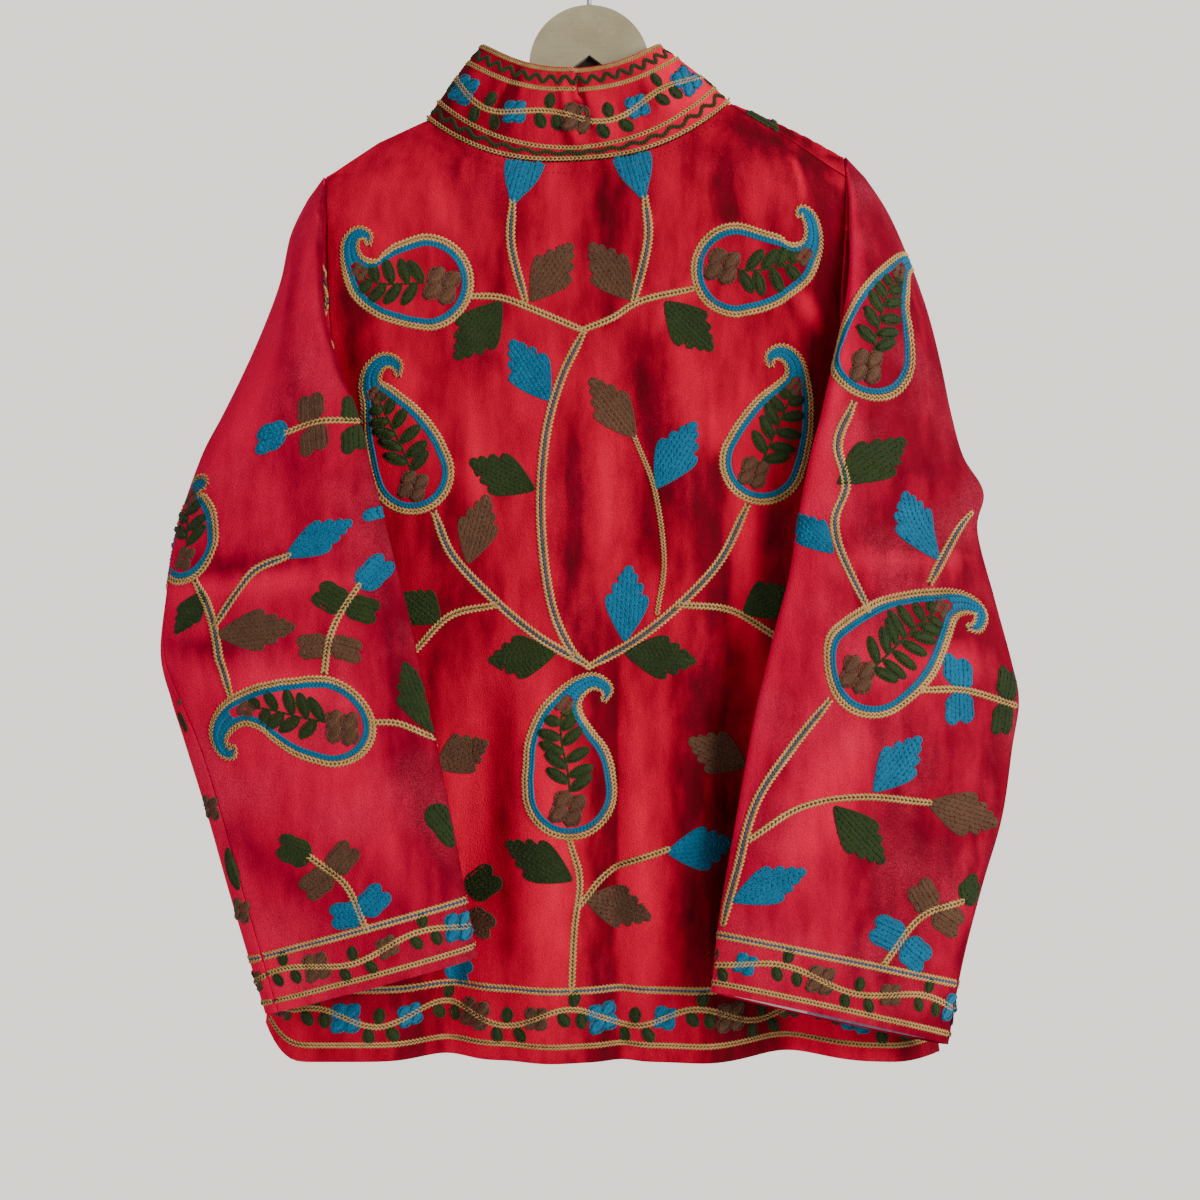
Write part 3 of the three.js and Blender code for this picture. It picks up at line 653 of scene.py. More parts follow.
def body_lattice(form: JacketForm, face: Face) -> Lattice:
    """Lattice of the back, or of both fronts, whose flat u runs to the viewer's right."""
    u = np.arange(-270, 271, 2.0)
    v = np.arange(-860, -120, 2.0)
    x = u if face is Face.BACK else -u
    grid_x, grid_z = np.meshgrid(x, v)
    return Lattice(u, v, stack(grid_x, form.sheet_y(face, grid_x, grid_z, grid_x), grid_z))


def collar_lattice(form: JacketForm) -> Lattice:
    """Lattice of the collar: u runs round from the centre back, and v climbs from the neck."""
    turn, climb = np.meshgrid(np.linspace(-np.pi, np.pi, 361), np.linspace(-0.05, 1.05, 45))
    points = form.collar_point(turn, climb)
    middle = points[22]
    run = np.concatenate([[0], np.cumsum(np.linalg.norm(np.diff(middle, axis=0), axis=1))])
    run -= run[180]
    u = np.arange(-240, 241, 2.0)
    turns = np.interp(u, run, turn[0])
    v = np.linspace(-3.5, 73.5, 45)
    return Lattice(u, v, form.collar_point(*np.meshgrid(turns, v / COLLAR_HIGH)))


class SleeveCloth:
    """One sleeve's creased tube over turn and share, and over flat millimetres."""

    def __init__(self, form: SleeveForm) -> None:
        """Lays the tube out, adds its creases, and measures it."""
        self.form = form
        self.turns = np.linspace(-np.pi, np.pi, 241)
        self.shares = np.linspace(0, 1, 321)
        plain = np.stack([form.across(self.turns, share) for share in self.shares])
        run = np.linalg.norm(np.diff(plain, axis=1), axis=2)
        girth = np.concatenate([np.zeros((len(self.shares), 1)), np.cumsum(run, axis=1)], axis=1)
        girth -= girth[:, 120:121]
        middle = plain[:, 180]
        steps = np.linalg.norm(np.diff(middle, axis=0), axis=1)
        self.down = np.concatenate([[0], np.cumsum(steps)])
        sign = -form.side.value
        self.flat_u = sign * girth
        held = smooth(self.down / 30)[:, None]
        depth = held * crease_depth(form.creases, self.flat_u, -self.down[:, None] + 0 * girth)
        self.points = plain - self.normals_of(plain) * depth[..., None]
        self.normals = self.normals_of(self.points)
        self.lattice = self.lay_flat()

    def normals_of(self, points: Array) -> Array:
        """Outward normals of the tube, joined at the inner seam below the underarm."""
        along = np.gradient(points, axis=1)
        first = self.form.head_rows / len(self.form.sections)
        closed = self.shares > first + 0.12
        wrap = (points[:, 1] - points[:, -2]) / 2
        along[closed, 0] = wrap[closed]
        along[closed, -1] = wrap[closed]
        down = np.gradient(points, axis=0)
        normals = unit(np.cross(down, along))
        return normals * self.form.side.value

    def lay_flat(self) -> Lattice:
        """Lattice over flat places, across from the outer edge and down as minus v."""
        u = np.arange(-190, 191, 2.0)
        v = np.arange(-2 * math.floor(self.down[-1] / 2), 1, 2.0)
        sign = -self.form.side.value
        rows = []
        for row in self.flat_u * sign:
            rows.append(np.interp(u * sign, row, np.arange(len(self.turns))))
        places = np.stack(rows)
        at_share = np.interp(-v, self.down, np.arange(len(self.shares)))
        i = np.minimum(at_share.astype(int), len(self.shares) - 2)
        s = (at_share - i)[:, None]
        column = mix(places[i], places[i + 1], s)
        j = np.minimum(column.astype(int), len(self.turns) - 2)
        t = (column - j)[..., None]
        return Lattice(u, v, between(self.points, i[:, None], j, s[..., None], t))

    def seam_u(self) -> Array:
        """Distance of the outer seam from the outer edge, at each share."""
        turns = self.form.outer_seam(self.shares)
        rows = self.flat_u * -self.form.side.value
        return np.array([np.interp(turn, self.turns, row) for turn, row in zip(turns, rows)])

    def sample(self, values: Array, turns: Array, shares: Array) -> Array:
        """Reading of the tube's points or normals.

        Args:
            values: The points or normals.
            turns: A row of turns for each share.
            shares: Shares down the sleeve.

        Returns:
            The readings, one row for each share.
        """
        at_turn = np.interp(turns, self.turns, np.arange(len(self.turns)))
        at_share = np.interp(shares, self.shares, np.arange(len(self.shares)))
        j = np.minimum(at_turn.astype(int), len(self.turns) - 2)
        i = np.minimum(at_share.astype(int), len(self.shares) - 2)[:, None]
        t = (at_turn - j)[..., None]
        s = (at_share[:, None] - i)[..., None]
        return between(values, i, j, s, t)


# Meshes


def select_only(piece: Piece) -> None:
    """Makes the piece the one selected and active object."""
    for other in bpy.context.selected_objects:
        other.select_set(False)
    piece.select_set(True)
    bpy.context.view_layer.objects.active = piece


def mesh_piece(name: str, corners: Array, faces: Array, uv: Array | None = None) -> Piece:
    """A smooth mesh object from arrays.

    Args:
        name: Name of the piece.
        corners: Points in millimetres.
        faces: Rows of corner numbers, all with the same count.
        uv: Flat place of each corner in metres, if it has one.

    Returns:
        The new object, linked to the scene.
    """
    mesh = bpy.data.meshes.new(name)
    count, sides = faces.shape
    mesh.vertices.add(len(corners))
    mesh.vertices.foreach_set("co", (corners * MM).astype(np.float32).ravel())
    mesh.loops.add(count * sides)
    mesh.loops.foreach_set("vertex_index", faces.astype(np.int32).ravel())
    mesh.polygons.add(count)
    mesh.polygons.foreach_set("loop_start", np.arange(0, count * sides, sides, dtype=np.int32))
    mesh.polygons.foreach_set("use_smooth", np.ones(count, dtype=bool))
    if uv is not None:
        layer = mesh.uv_layers.new(name="cloth")
        layer.data.foreach_set("uv", uv[faces.ravel()].astype(np.float32).ravel())
    mesh.update()
    mesh.validate()
    piece = bpy.data.objects.new(name, mesh)
    bpy.context.collection.objects.link(piece)
    return piece


def pile_lean(normals: Array, painted_streaks: Array) -> Array:
    """Painted light share of the pile: lighter where the cloth faces +X towards the key light, a little
    lighter where it faces up, and along painted streaks.
    """
    slope = 0.9 * normals[..., 0] + 0.12 * normals[..., 2]
    return clamp01(0.5 + 0.55 * np.tanh(1.6 * slope) + painted_streaks)


def cloth_wall(
    name: str, middle: Array, normals: Array, flat: Array, thickness: float, painted_streaks: Array | float = 0.0,
) -> Piece:
    """A closed wall of cloth on a grid, its edges turned over with a soft bevel.

    Args:
        name: Name of the piece.
        middle: Rows and columns of points down the middle of the wall, in millimetres.
        normals: Outward normals at the same places.
        flat: Flat places of the same points, in metres.
        thickness: Thickness of the cloth in millimetres.
        painted_streaks: Painted streaks of light and shade at each point, lighter where positive and darker
            where negative, where it has a pile.

    Returns:
        The new object.
    """
    down, across = middle.shape[:2]
    half = normals * thickness / 2
    corners = np.concatenate([(middle + half).reshape(-1, 3), (middle - half).reshape(-1, 3)])
    uv = np.concatenate([flat.reshape(-1, 2)] * 2)
    outer, inner = np.arange(2 * down * across).reshape(2, down, across)
    face = np.cross(middle[1, 0] - middle[0, 0], middle[0, 1] - middle[0, 0])
    turned = np.dot(face, normals[0, 0]) < 0

    def quads(p: Array, q: Array, r: Array, s: Array) -> Array:
        """Four-cornered faces, one from each place of four equal grids of corner numbers."""
        return np.stack([p.ravel(), q.ravel(), r.ravel(), s.ravel()], axis=1)

    faces = np.concatenate([
        quads(outer[:-1, :-1], outer[1:, :-1], outer[1:, 1:], outer[:-1, 1:]),
        quads(inner[:-1, :-1], inner[:-1, 1:], inner[1:, 1:], inner[1:, :-1]),
        quads(outer[0, :-1], outer[0, 1:], inner[0, 1:], inner[0, :-1]),
        quads(outer[-1, 1:], outer[-1, :-1], inner[-1, :-1], inner[-1, 1:]),
        quads(outer[1:, 0], outer[:-1, 0], inner[:-1, 0], inner[1:, 0]),
        quads(outer[:-1, -1], outer[1:, -1], inner[1:, -1], inner[:-1, -1]),
    ])
    if turned:
        faces = faces[:, ::-1]
    piece = mesh_piece(name, corners, faces, uv)
    # Painted light and shade of the velvet, kept on the points as an attribute.
    lean = np.tile(pile_lean(normals, painted_streaks).ravel(), 2)
    piece.data.attributes.new("lean", "FLOAT", "POINT").data.foreach_set("value", lean.astype(np.float32))
    bevel = piece.modifiers.new("turned_edge", "BEVEL")
    bevel.width = 0.3 * thickness * MM
    bevel.segments = 2
    bevel.limit_method = "ANGLE"
    bevel.angle_limit = math.radians(62)
    select_only(piece)
    bpy.ops.object.modifier_apply(modifier=bevel.name)
    piece.data.polygons.foreach_set("use_smooth", np.ones(len(piece.data.polygons), dtype=bool))
    return piece


def mitred_normals(point: Callable[[Array, Array], Array], a: Array, b: Array, reach: float) -> Array:
    """Normals read over a reach to either side, past the seams too, which mitres them."""
    along_a = point(a + reach, b) - point(a - reach, b)
    along_b = point(a, b + reach / 2) - point(a, b - reach / 2)
    return unit(np.cross(along_a, along_b))


# Finishes


def set_inputs(node: Node, **values: object) -> None:
    """Sets a node's inputs by name, with _ for a space. A colour of three parts is made whole."""
    for name, value in values.items():
        socket = node.inputs[name.replace("_", " ")]
        whole = isinstance(value, tuple) and len(socket.default_value) == 4
        socket.default_value = (*value, 1) if whole else value


class Nodes:
    """Short ways to add and join shader nodes in one tree."""

    def __init__(self, tree: Tree) -> None:
        """Keeps the tree."""
        self.tree = tree

    def add(self, kind: str, **values: object) -> Node:
        """A new node, with its properties or inputs set by name."""
        node = self.tree.nodes.new(kind)
        for name, value in values.items():
            label = name.replace("_", " ").capitalize()
            if hasattr(node, name):
                setattr(node, name, value)
            else:
                node.inputs[label].default_value = value
        return node

    def mapped(self, place: Socket, **values: tuple[float, float, float]) -> Socket:
        """Place stretched by a scale or turned by a rotation."""
        node = self.tree.nodes.new("ShaderNodeMapping")
        set_inputs(node, **values)
        self.link(place, node.inputs["Vector"])
        return node.outputs["Vector"]

    def link(self, source: Socket, target: Socket) -> None:
        """Joins two sockets."""
        self.tree.links.new(source, target)

    def maths(self, operation: str, a: object, b: object) -> Socket:
        """Result of a sum of two sockets or numbers."""
        node = self.tree.nodes.new("ShaderNodeMath")
        node.operation = operation
        for socket, value in zip(node.inputs, (a, b)):
            if isinstance(value, Socket):
                self.link(value, socket)
            else:
                socket.default_value = value
        return node.outputs[0]

    def blend(self, share: object, a: object, b: object, kind: str = "MIX") -> Socket:
        """Mix of two colours, each a socket or a colour."""
        node = self.tree.nodes.new("ShaderNodeMix")
        node.data_type = "RGBA"
        node.blend_type = kind
        for socket, value in zip((node.inputs[0], node.inputs[6], node.inputs[7]), (share, a, b)):
            if isinstance(value, Socket):
                self.link(value, socket)
            elif isinstance(value, tuple):
                socket.default_value = (*value, 1.0)
            else:
                socket.default_value = value
        return node.outputs[2]

    def noise(self, place: Socket, scale: float, detail: float = 3.0) -> Socket:
        """Noise of a scale, as a value."""
        node = self.tree.nodes.new("ShaderNodeTexNoise")
        set_inputs(node, Scale=scale, Detail=detail)
        self.link(place, node.inputs["Vector"])
        return node.outputs["Fac"]

    def ramp(self, value: Socket, low: float, high: float) -> Socket:
        """Value stretched so that low gives 0 and high gives 1."""
        node = self.tree.nodes.new("ShaderNodeMapRange")
        set_inputs(node, From_Min=low, From_Max=high)
        self.link(value, node.inputs["Value"])
        return node.outputs["Result"]


def new_group(
    name: str, inputs: Sequence[tuple[str, str, object]], outputs: Sequence[tuple[str, str]],
) -> tuple[Tree, Node, Node]:
    """An empty shader group with its sockets.

    Args:
        name: Name of the group.
        inputs: Name, kind and start value of each input.
        outputs: Name and kind of each output.

    Returns:
        The group, its input node and its output node.
    """
    group = bpy.data.node_groups.new(name, "ShaderNodeTree")
    for label, kind, value in inputs:
        socket = group.interface.new_socket(label, in_out="INPUT", socket_type=kind)
        socket.default_value = value
    for label, kind in outputs:
        group.interface.new_socket(label, in_out="OUTPUT", socket_type=kind)
    return group, group.nodes.new("NodeGroupInput"), group.nodes.new("NodeGroupOutput")


def nap_group() -> Tree:
    """Group that colours a pile from a painted shaded tone (Deep) to a painted lit tone (Bright) by painted
    light and random pile patches, with wear and a fine height.
    """
    colour, number = "NodeSocketColor", "NodeSocketFloat"
    group, given, made = new_group(
        "nap",
        [("Deep", colour, (0.5, 0.0, 0.02, 1)), ("Bright", colour, (0.8, 0.02, 0.05, 1)),
         ("Worn", colour, (0.8, 0.2, 0.25, 1)), ("Wear", number, 0.3), ("Patch", number, 9.0)],
        [("Colour", colour), ("Height", number), ("Lie", number)],
    )
    nodes = Nodes(group)
    place = nodes.add("ShaderNodeTexCoord").outputs["Object"]
    drawn = nodes.mapped(place, Scale=(1.6, 1.6, 0.55))
    patch = nodes.tree.nodes.new("ShaderNodeTexNoise")
    patch.inputs["Detail"].default_value = 4.0
    nodes.link(drawn, patch.inputs["Vector"])
    nodes.link(given.outputs["Patch"], patch.inputs["Scale"])
    cloud = nodes.ramp(patch.outputs["Fac"], 0.3, 0.7)
    # Painted light share of each point: slope towards the key light and painted streaks.
    lean = nodes.add("ShaderNodeAttribute", attribute_name="lean").outputs["Fac"]
    streak = nodes.ramp(nodes.noise(drawn, 55, 5), 0.3, 0.7)
    drift = nodes.maths("MULTIPLY", nodes.maths("ADD", cloud, nodes.maths("MULTIPLY", streak, 0.5)), 0.5)
    # Painted light and shade, mixed with random patches of the pile.
    painted_light_and_patches = nodes.ramp(nodes.maths("ADD", nodes.maths("MULTIPLY", lean, 1.5), drift), 0.72, 1.85)
    speck = nodes.ramp(nodes.noise(place, 900, 2), 0.25, 0.75)
    # Painted shading: from the shaded tone to the lit tone.
    base = nodes.blend(painted_light_and_patches, given.outputs["Deep"], given.outputs["Bright"])
    streaked = nodes.blend(nodes.maths("MULTIPLY", streak, 0.16), base, given.outputs["Bright"])
    rubbed = nodes.ramp(nodes.noise(place, 16, 6), 0.47, 0.72)
    share = nodes.maths("MULTIPLY", nodes.maths("MULTIPLY", rubbed, speck), given.outputs["Wear"])
    worn = nodes.blend(share, streaked, given.outputs["Worn"])
    shade = nodes.maths("ADD", nodes.maths("MULTIPLY", speck, 0.24), 0.88)
    tone = nodes.tree.nodes.new("ShaderNodeCombineColor")
    for socket in tone.inputs:
        nodes.link(shade, socket)
    nodes.link(nodes.blend(1.0, worn, tone.outputs[0], "MULTIPLY"), made.inputs["Colour"])
    nodes.link(nodes.maths("ADD", speck, nodes.maths("MULTIPLY", streak, 0.6)), made.inputs["Height"])
    nodes.link(painted_light_and_patches, made.inputs["Lie"])
    return group


def thread_group() -> Tree:
    """Group that shades chain stitches: fibre, dye that varies, and painted shade in the loop middle and at
    the stitch edges.
    """
    colour, number = "NodeSocketColor", "NodeSocketFloat"
    group, given, made = new_group(
        "chain_thread",
        [("Dye", colour, (0.5, 0.4, 0.2, 1)), ("Pale", colour, (0.6, 0.5, 0.3, 1)),
         ("Dark", colour, (0.2, 0.1, 0.05, 1))],
        [("Colour", colour), ("Height", number)],
    )
    nodes = Nodes(group)
    place = nodes.add("ShaderNodeTexCoord").outputs["Object"]
    uv = nodes.add("ShaderNodeUVMap", uv_map="cloth").outputs["UV"]
    split = nodes.add("ShaderNodeSeparateXYZ")
    nodes.link(uv, split.inputs[0])
    varied = nodes.ramp(nodes.noise(place, 130, 3), 0.3, 0.7)
    faded = nodes.ramp(nodes.noise(place, 14, 2), 0.3, 0.7)
    share = nodes.maths("MULTIPLY", nodes.maths("ADD", varied, faded), 0.5)
    dyed = nodes.blend(share, given.outputs["Dye"], given.outputs["Pale"])
    across = nodes.maths("ABSOLUTE", nodes.maths("SUBTRACT", split.outputs["Y"], 0.5), 0.0)
    loop = nodes.maths("SUBTRACT", 1.0, nodes.ramp(across, 0.02, 0.14))
    length = nodes.maths("ABSOLUTE", nodes.maths("SUBTRACT", split.outputs["X"], 0.55), 0.0)
    inside = nodes.maths("SUBTRACT", 1.0, nodes.ramp(length, 0.16, 0.3))
    edge = nodes.ramp(across, 0.3, 0.5)
    groove = nodes.maths("MULTIPLY", loop, inside)
    # Painted shade: darker in the loop middle and at the stitch edges.
    dark = nodes.maths("MAXIMUM", nodes.maths("MULTIPLY", groove, 0.4), nodes.maths("MULTIPLY", edge, 0.75))
    nodes.link(nodes.blend(dark, dyed, given.outputs["Dark"]), made.inputs["Colour"])
    slanting = nodes.maths("ADD", split.outputs["X"], across)
    twist = nodes.maths("SINE", nodes.maths("MULTIPLY", slanting, 30), 0.0)
    height = nodes.maths("SUBTRACT", nodes.maths("MULTIPLY", twist, 0.3), groove)
    nodes.link(height, made.inputs["Height"])
    return group


def bump_into(
    nodes: Nodes, height: Socket, shader: Node, distance: float, strength: float,
) -> None:
    """Feeds a height through a bump into a shader's normal."""
    bump = nodes.tree.nodes.new("ShaderNodeBump")
    set_inputs(bump, Distance=distance, Strength=strength)
    nodes.link(height, bump.inputs["Height"])
    nodes.link(bump.outputs["Normal"], shader.inputs["Normal"])


def start_material(name: str) -> tuple[Material, Nodes, Node]:
    """A new material with its shader.

    Args:
        name: Name of the finish.

    Returns:
        The material, its nodes and its Principled shader.
    """
    material = bpy.data.materials.new(name)
    material.use_nodes = True
    nodes = Nodes(material.node_tree)
    shader = next(node for node in nodes.tree.nodes if node.type == "BSDF_PRINCIPLED")
    return material, nodes, shader


@dataclass(frozen=True)
class Velvet:
    """Velvet pile with a sheen, coloured between painted shaded and lit tones by painted light and random
    patches.
    """

    name: str
    # Painted shaded and lit tones of the pile.
    deep: Colour
    bright: Colour
    worn: Colour
    wear: float
    patch: float
    sheen: float
    sheen_tint: Colour

    def make(self, nap: Tree) -> Material:
        """The finished material."""
        material, nodes, shader = start_material(self.name)
        set_inputs(shader, Sheen_Weight=self.sheen, Sheen_Roughness=0.36, Sheen_Tint=self.sheen_tint)
        set_inputs(shader, Specular_IOR_Level=0.06)
        pile = nodes.add("ShaderNodeGroup", node_tree=nap)
        set_inputs(pile, Deep=self.deep, Bright=self.bright, Worn=self.worn, Wear=self.wear, Patch=self.patch)
        # Base colour with painted light and shade.
        nodes.link(pile.outputs["Colour"], shader.inputs["Base Color"])
        rough = nodes.maths("ADD", nodes.maths("MULTIPLY", pile.outputs["Lie"], 0.14), 0.72)
        nodes.link(rough, shader.inputs["Roughness"])
        bump_into(nodes, pile.outputs["Height"], shader, 0.0006, 0.5)
        return material


@dataclass(frozen=True)
class ThreadDye:
    """Embroidery thread of one dye."""

    name: str
    dye: Colour
    pale: Colour
    # Painted shade tone of stitch edges and loop middles.
    dark: Colour

    def make(self, thread: Tree) -> Material:
        """The finished material."""
        material, nodes, shader = start_material(self.name)
        set_inputs(shader, Sheen_Weight=0.06, Sheen_Roughness=0.5, Specular_IOR_Level=0.2, Roughness=0.68)
        stitch = nodes.add("ShaderNodeGroup", node_tree=thread)
        set_inputs(stitch, Dye=self.dye, Pale=self.pale, Dark=self.dark)
        nodes.link(stitch.outputs["Colour"], shader.inputs["Base Color"])
        bump_into(nodes, stitch.outputs["Height"], shader, 0.0004, 0.6)
        return material


@dataclass(frozen=True)
class StreakedSatin:
    """Lining satin with a pale facing band and slanting streaks."""

    name: str = "lining_satin"
    band: float = 0.03
    pale_to: float = 0.157
    violet: Colour = (0.115, 0.1, 0.19)
    slate: Colour = (0.2, 0.2, 0.3)
    pale: Colour = (0.62, 0.58, 0.57)

    def make(self) -> Material:
        """The finished material."""
        material, nodes, shader = start_material(self.name)
        set_inputs(shader, Sheen_Weight=0.15, Specular_IOR_Level=0.5)
        place = nodes.add("ShaderNodeTexCoord").outputs["Object"]
        drawn = nodes.mapped(place, Rotation=(0, math.radians(38), 0), Scale=(300, 40, 16))
        streak = nodes.ramp(nodes.noise(drawn, 1.0, 3), 0.35, 0.65)
        cloth = nodes.blend(streak, self.violet, self.slate)
        uv = nodes.add("ShaderNodeUVMap", uv_map="cloth").outputs["UV"]
        split = nodes.add("ShaderNodeSeparateXYZ")
        nodes.link(uv, split.inputs[0])
        facing = nodes.ramp(split.outputs["Y"], self.band, self.band * 0.94)
        sides = nodes.add("ShaderNodeSeparateXYZ")
        nodes.link(place, sides.inputs[0])
        from_middle = nodes.maths("ABSOLUTE", sides.outputs["X"], 0.0)
        inner = nodes.ramp(from_middle, self.pale_to, self.pale_to - 0.001)
        pale = nodes.maths("MULTIPLY", facing, inner)
        nodes.link(nodes.blend(pale, cloth, self.pale), shader.inputs["Base Color"])
        rough = nodes.maths("ADD", nodes.maths("MULTIPLY", streak, 0.16), 0.3)
        nodes.link(rough, shader.inputs["Roughness"])
        bump_into(nodes, streak, shader, 0.0003, 0.3)
        return material


@dataclass(frozen=True)
class HangerBoard:
    """Smooth khaki board with a brushed, scuffed face."""

    name: str = "hanger_board"
    base: Colour = (0.29, 0.245, 0.135)
    pale: Colour = (0.42, 0.37, 0.24)
    dark: Colour = (0.15, 0.12, 0.06)

    def make(self) -> Material:
        """The finished material."""
        material, nodes, shader = start_material(self.name)
        shader.inputs["Specular IOR Level"].default_value = 0.5
        place = nodes.add("ShaderNodeTexCoord").outputs["Object"]
        lines = nodes.ramp(nodes.noise(nodes.mapped(place, Scale=(30, 30, 900)), 1.0, 3), 0.3, 0.7)
        cloud = nodes.ramp(nodes.noise(place, 26, 3), 0.35, 0.7)
        scuff = nodes.ramp(nodes.noise(place, 260, 4), 0.62, 0.74)
        tone = nodes.blend(nodes.maths("MULTIPLY", cloud, 0.7), self.base, self.pale)
        tone = nodes.blend(nodes.maths("MULTIPLY", lines, 0.25), tone, self.dark)
        tone = nodes.blend(nodes.maths("MULTIPLY", scuff, 0.35), tone, self.pale)
        nodes.link(tone, shader.inputs["Base Color"])
        nodes.link(nodes.maths("ADD", nodes.maths("MULTIPLY", lines, 0.2), 0.42), shader.inputs["Roughness"])
        bump_into(nodes, lines, shader, 0.0002, 0.35)
        return material


@dataclass(frozen=True)
class HookSteel:
    """Bright drawn wire with fine length marks."""

    name: str = "hook_steel"
    base: Colour = (0.56, 0.56, 0.57)
    dull: Colour = (0.3, 0.29, 0.28)

    def make(self) -> Material:
        """The finished material."""
        material, nodes, shader = start_material(self.name)
        shader.inputs["Metallic"].default_value = 1.0
        place = nodes.add("ShaderNodeTexCoord").outputs["Object"]
        marks = nodes.ramp(nodes.noise(place, 700, 4), 0.4, 0.7)
        cloud = nodes.ramp(nodes.noise(place, 70, 3), 0.45, 0.7)
        nodes.link(nodes.blend(cloud, self.base, self.dull), shader.inputs["Base Color"])
        nodes.link(nodes.maths("ADD", nodes.maths("MULTIPLY", marks, 0.18), 0.2), shader.inputs["Roughness"])
        bump_into(nodes, marks, shader, 0.0001, 0.3)
        return material


@dataclass
class Wardrobe:
    """All finishes, made once."""

    made: dict[str, Material] = field(default_factory=dict)

    def fill(self) -> None:
        """Makes every finish."""
        nap, thread = nap_group(), thread_group()
        for velvet in (
            # Each velvet: name, painted shaded tone, painted lit tone, worn tone, wear, patch scale, sheen
            # and sheen tint.
            Velvet("body_velvet", (0.075, 0.0, 0.003), (0.76, 0.0, 0.038), (0.72, 0.01, 0.055),
                   0.2, 8.0, 0.05, (1.0, 0.0, 0.15)),
            Velvet("sleeve_velvet", (0.14, 0.0, 0.008), (0.72, 0.0, 0.045), (0.68, 0.05, 0.11),
                   0.36, 10.0, 0.1, (1.0, 0.05, 0.3)),
        ):
            self.made[velvet.name] = velvet.make(nap)
        for dye in (
            # Each thread: name, dye, pale dye, and painted shade tone.
            ThreadDye("gold_thread", (0.43, 0.24, 0.065), (0.7, 0.43, 0.16), (0.1, 0.045, 0.01)),
            ThreadDye("blue_thread", (0.0, 0.1, 0.19), (0.0, 0.17, 0.31), (0.0, 0.015, 0.045)),
            ThreadDye("green_thread", (0.01, 0.022, 0.001), (0.025, 0.046, 0.003), (0.002, 0.005, 0.0)),
            ThreadDye("brown_thread", (0.075, 0.027, 0.011), (0.14, 0.06, 0.028), (0.015, 0.006, 0.003)),
            # Painted shadow for the dark sheet behind the board's window.
            ThreadDye("window_felt", (0.03, 0.017, 0.01), (0.05, 0.03, 0.02), (0.01, 0.006, 0.004)),
            ThreadDye("red_thread", (0.26, 0.0, 0.008), (0.4, 0.002, 0.014), (0.1, 0.0, 0.004)),
        ):
            self.made[dye.name] = dye.make(thread)
        for finish in (StreakedSatin(), HangerBoard(), HookSteel()):
            self.made[finish.name] = finish.make()

    def dress(self, piece: Piece, name: str) -> None:
        """Gives a piece one finish."""
        piece.data.materials.clear()
        piece.data.materials.append(self.made[name])


# Embroidery


class Thread(Enum):
    """Embroidery threads, named as their finishes are."""

    GOLD = "gold_thread"
    BLUE = "blue_thread"
    GREEN = "green_thread"
    BROWN = "brown_thread"
    RED = "red_thread"


class Shape(Enum):
    """Half outlines of filled leaves, from the base at 0 to the tip at 1, for a width of 1."""

    LOBED = ((0.02, 0.0), (0.26, 0.2), (0.44, 0.39), (0.51, 0.5), (0.52, 0.58), (0.45, 0.63), (0.34, 0.59),
             (0.36, 0.68), (0.38, 0.75), (0.31, 0.8), (0.2, 0.74), (0.22, 0.83), (0.22, 0.9), (0.15, 0.93),
             (0.08, 0.87), (0.11, 0.96), (0.07, 1.02))
    TWIN = ((0.04, 0.0), (0.3, 0.05), (0.5, 0.26), (0.44, 0.48), (0.5, 0.7), (0.38, 0.95), (0.16, 0.98),
            (0.02, 0.82))
    TULIP = ((0.04, 0.0), (0.14, 0.2), (0.3, 0.45), (0.41, 0.72), (0.44, 0.95), (0.46, 1.3))
    OVAL = ((0.08, 0.0), (0.4, 0.2), (0.52, 0.5), (0.4, 0.8), (0.08, 1.0))


GOLD, BLUE, GREEN, BROWN, RED = Thread
LOBED, TWIN, TULIP, OVAL = Shape


@dataclass(frozen=True)
class Leaf:
    """A filled leaf, from its base to its tip, in flat millimetres."""

    thread: Thread
    shape: Shape
    base_u: float
    base_v: float
    tip_u: float
    tip_v: float
    width: float


@dataclass(frozen=True)
class Stem:
    """A stem of chain rows through flat places; spread parts its two rows."""

    spread: float
    places: tuple[tuple[float, float], ...]


@dataclass(frozen=True)
class Paisley:
    """A paisley on a spine of u, v and radius, from its round end to the curl of its tail."""

    spine: tuple[tuple[float, float, float], ...]


@dataclass(frozen=True)
class Flower:
    """A four-petalled flower."""

    thread: Thread
    u: float
    v: float
    radius: float
    turn: float = 0.4


def curve(places: Sequence[Sequence[float]], step: float = 1.5) -> Array:
    """Smooth line through places, which may carry a radius as well.

    Args:
        places: The places it passes.
        step: Rough distance between two samples.

    Returns:
        Samples, one row each.
    """
    points = np.asarray(places, float)
    if len(points) == 2:
        count = max(3, int(np.linalg.norm(points[1, :2] - points[0, :2]) / step))
        return mix(points[0], points[1], np.linspace(0, 1, count)[:, None])
    padded = np.vstack([2 * points[0] - points[1], points, 2 * points[-1] - points[-2]])
    parts = []
    for a, b, c, d in zip(padded, padded[1:], padded[2:], padded[3:]):
        count = max(3, int(np.linalg.norm(c[:2] - b[:2]) / step))
        t = np.linspace(0, 1, count, endpoint=False)[:, None]
        parts.append(b + 0.5 * t * (c - a + t * (2 * a - 5 * b + 4 * c - d + t * (3 * (b - c) + d - a))))
    return np.vstack([*parts, points[-1:]])


def beside(line: Array, distance: Array | float) -> Array:
    """Line moved sideways, to its left where the distance is positive."""
    ahead = unit(np.gradient(line[:, :2], axis=0))
    sideways = columns(-ahead[:, 1], ahead[:, 0])
    return line[:, :2] + sideways * np.broadcast_to(distance, len(line))[:, None]


def columns(*parts: Array) -> Array:
    """Rows of places made from one column for each part."""
    return np.column_stack(parts)


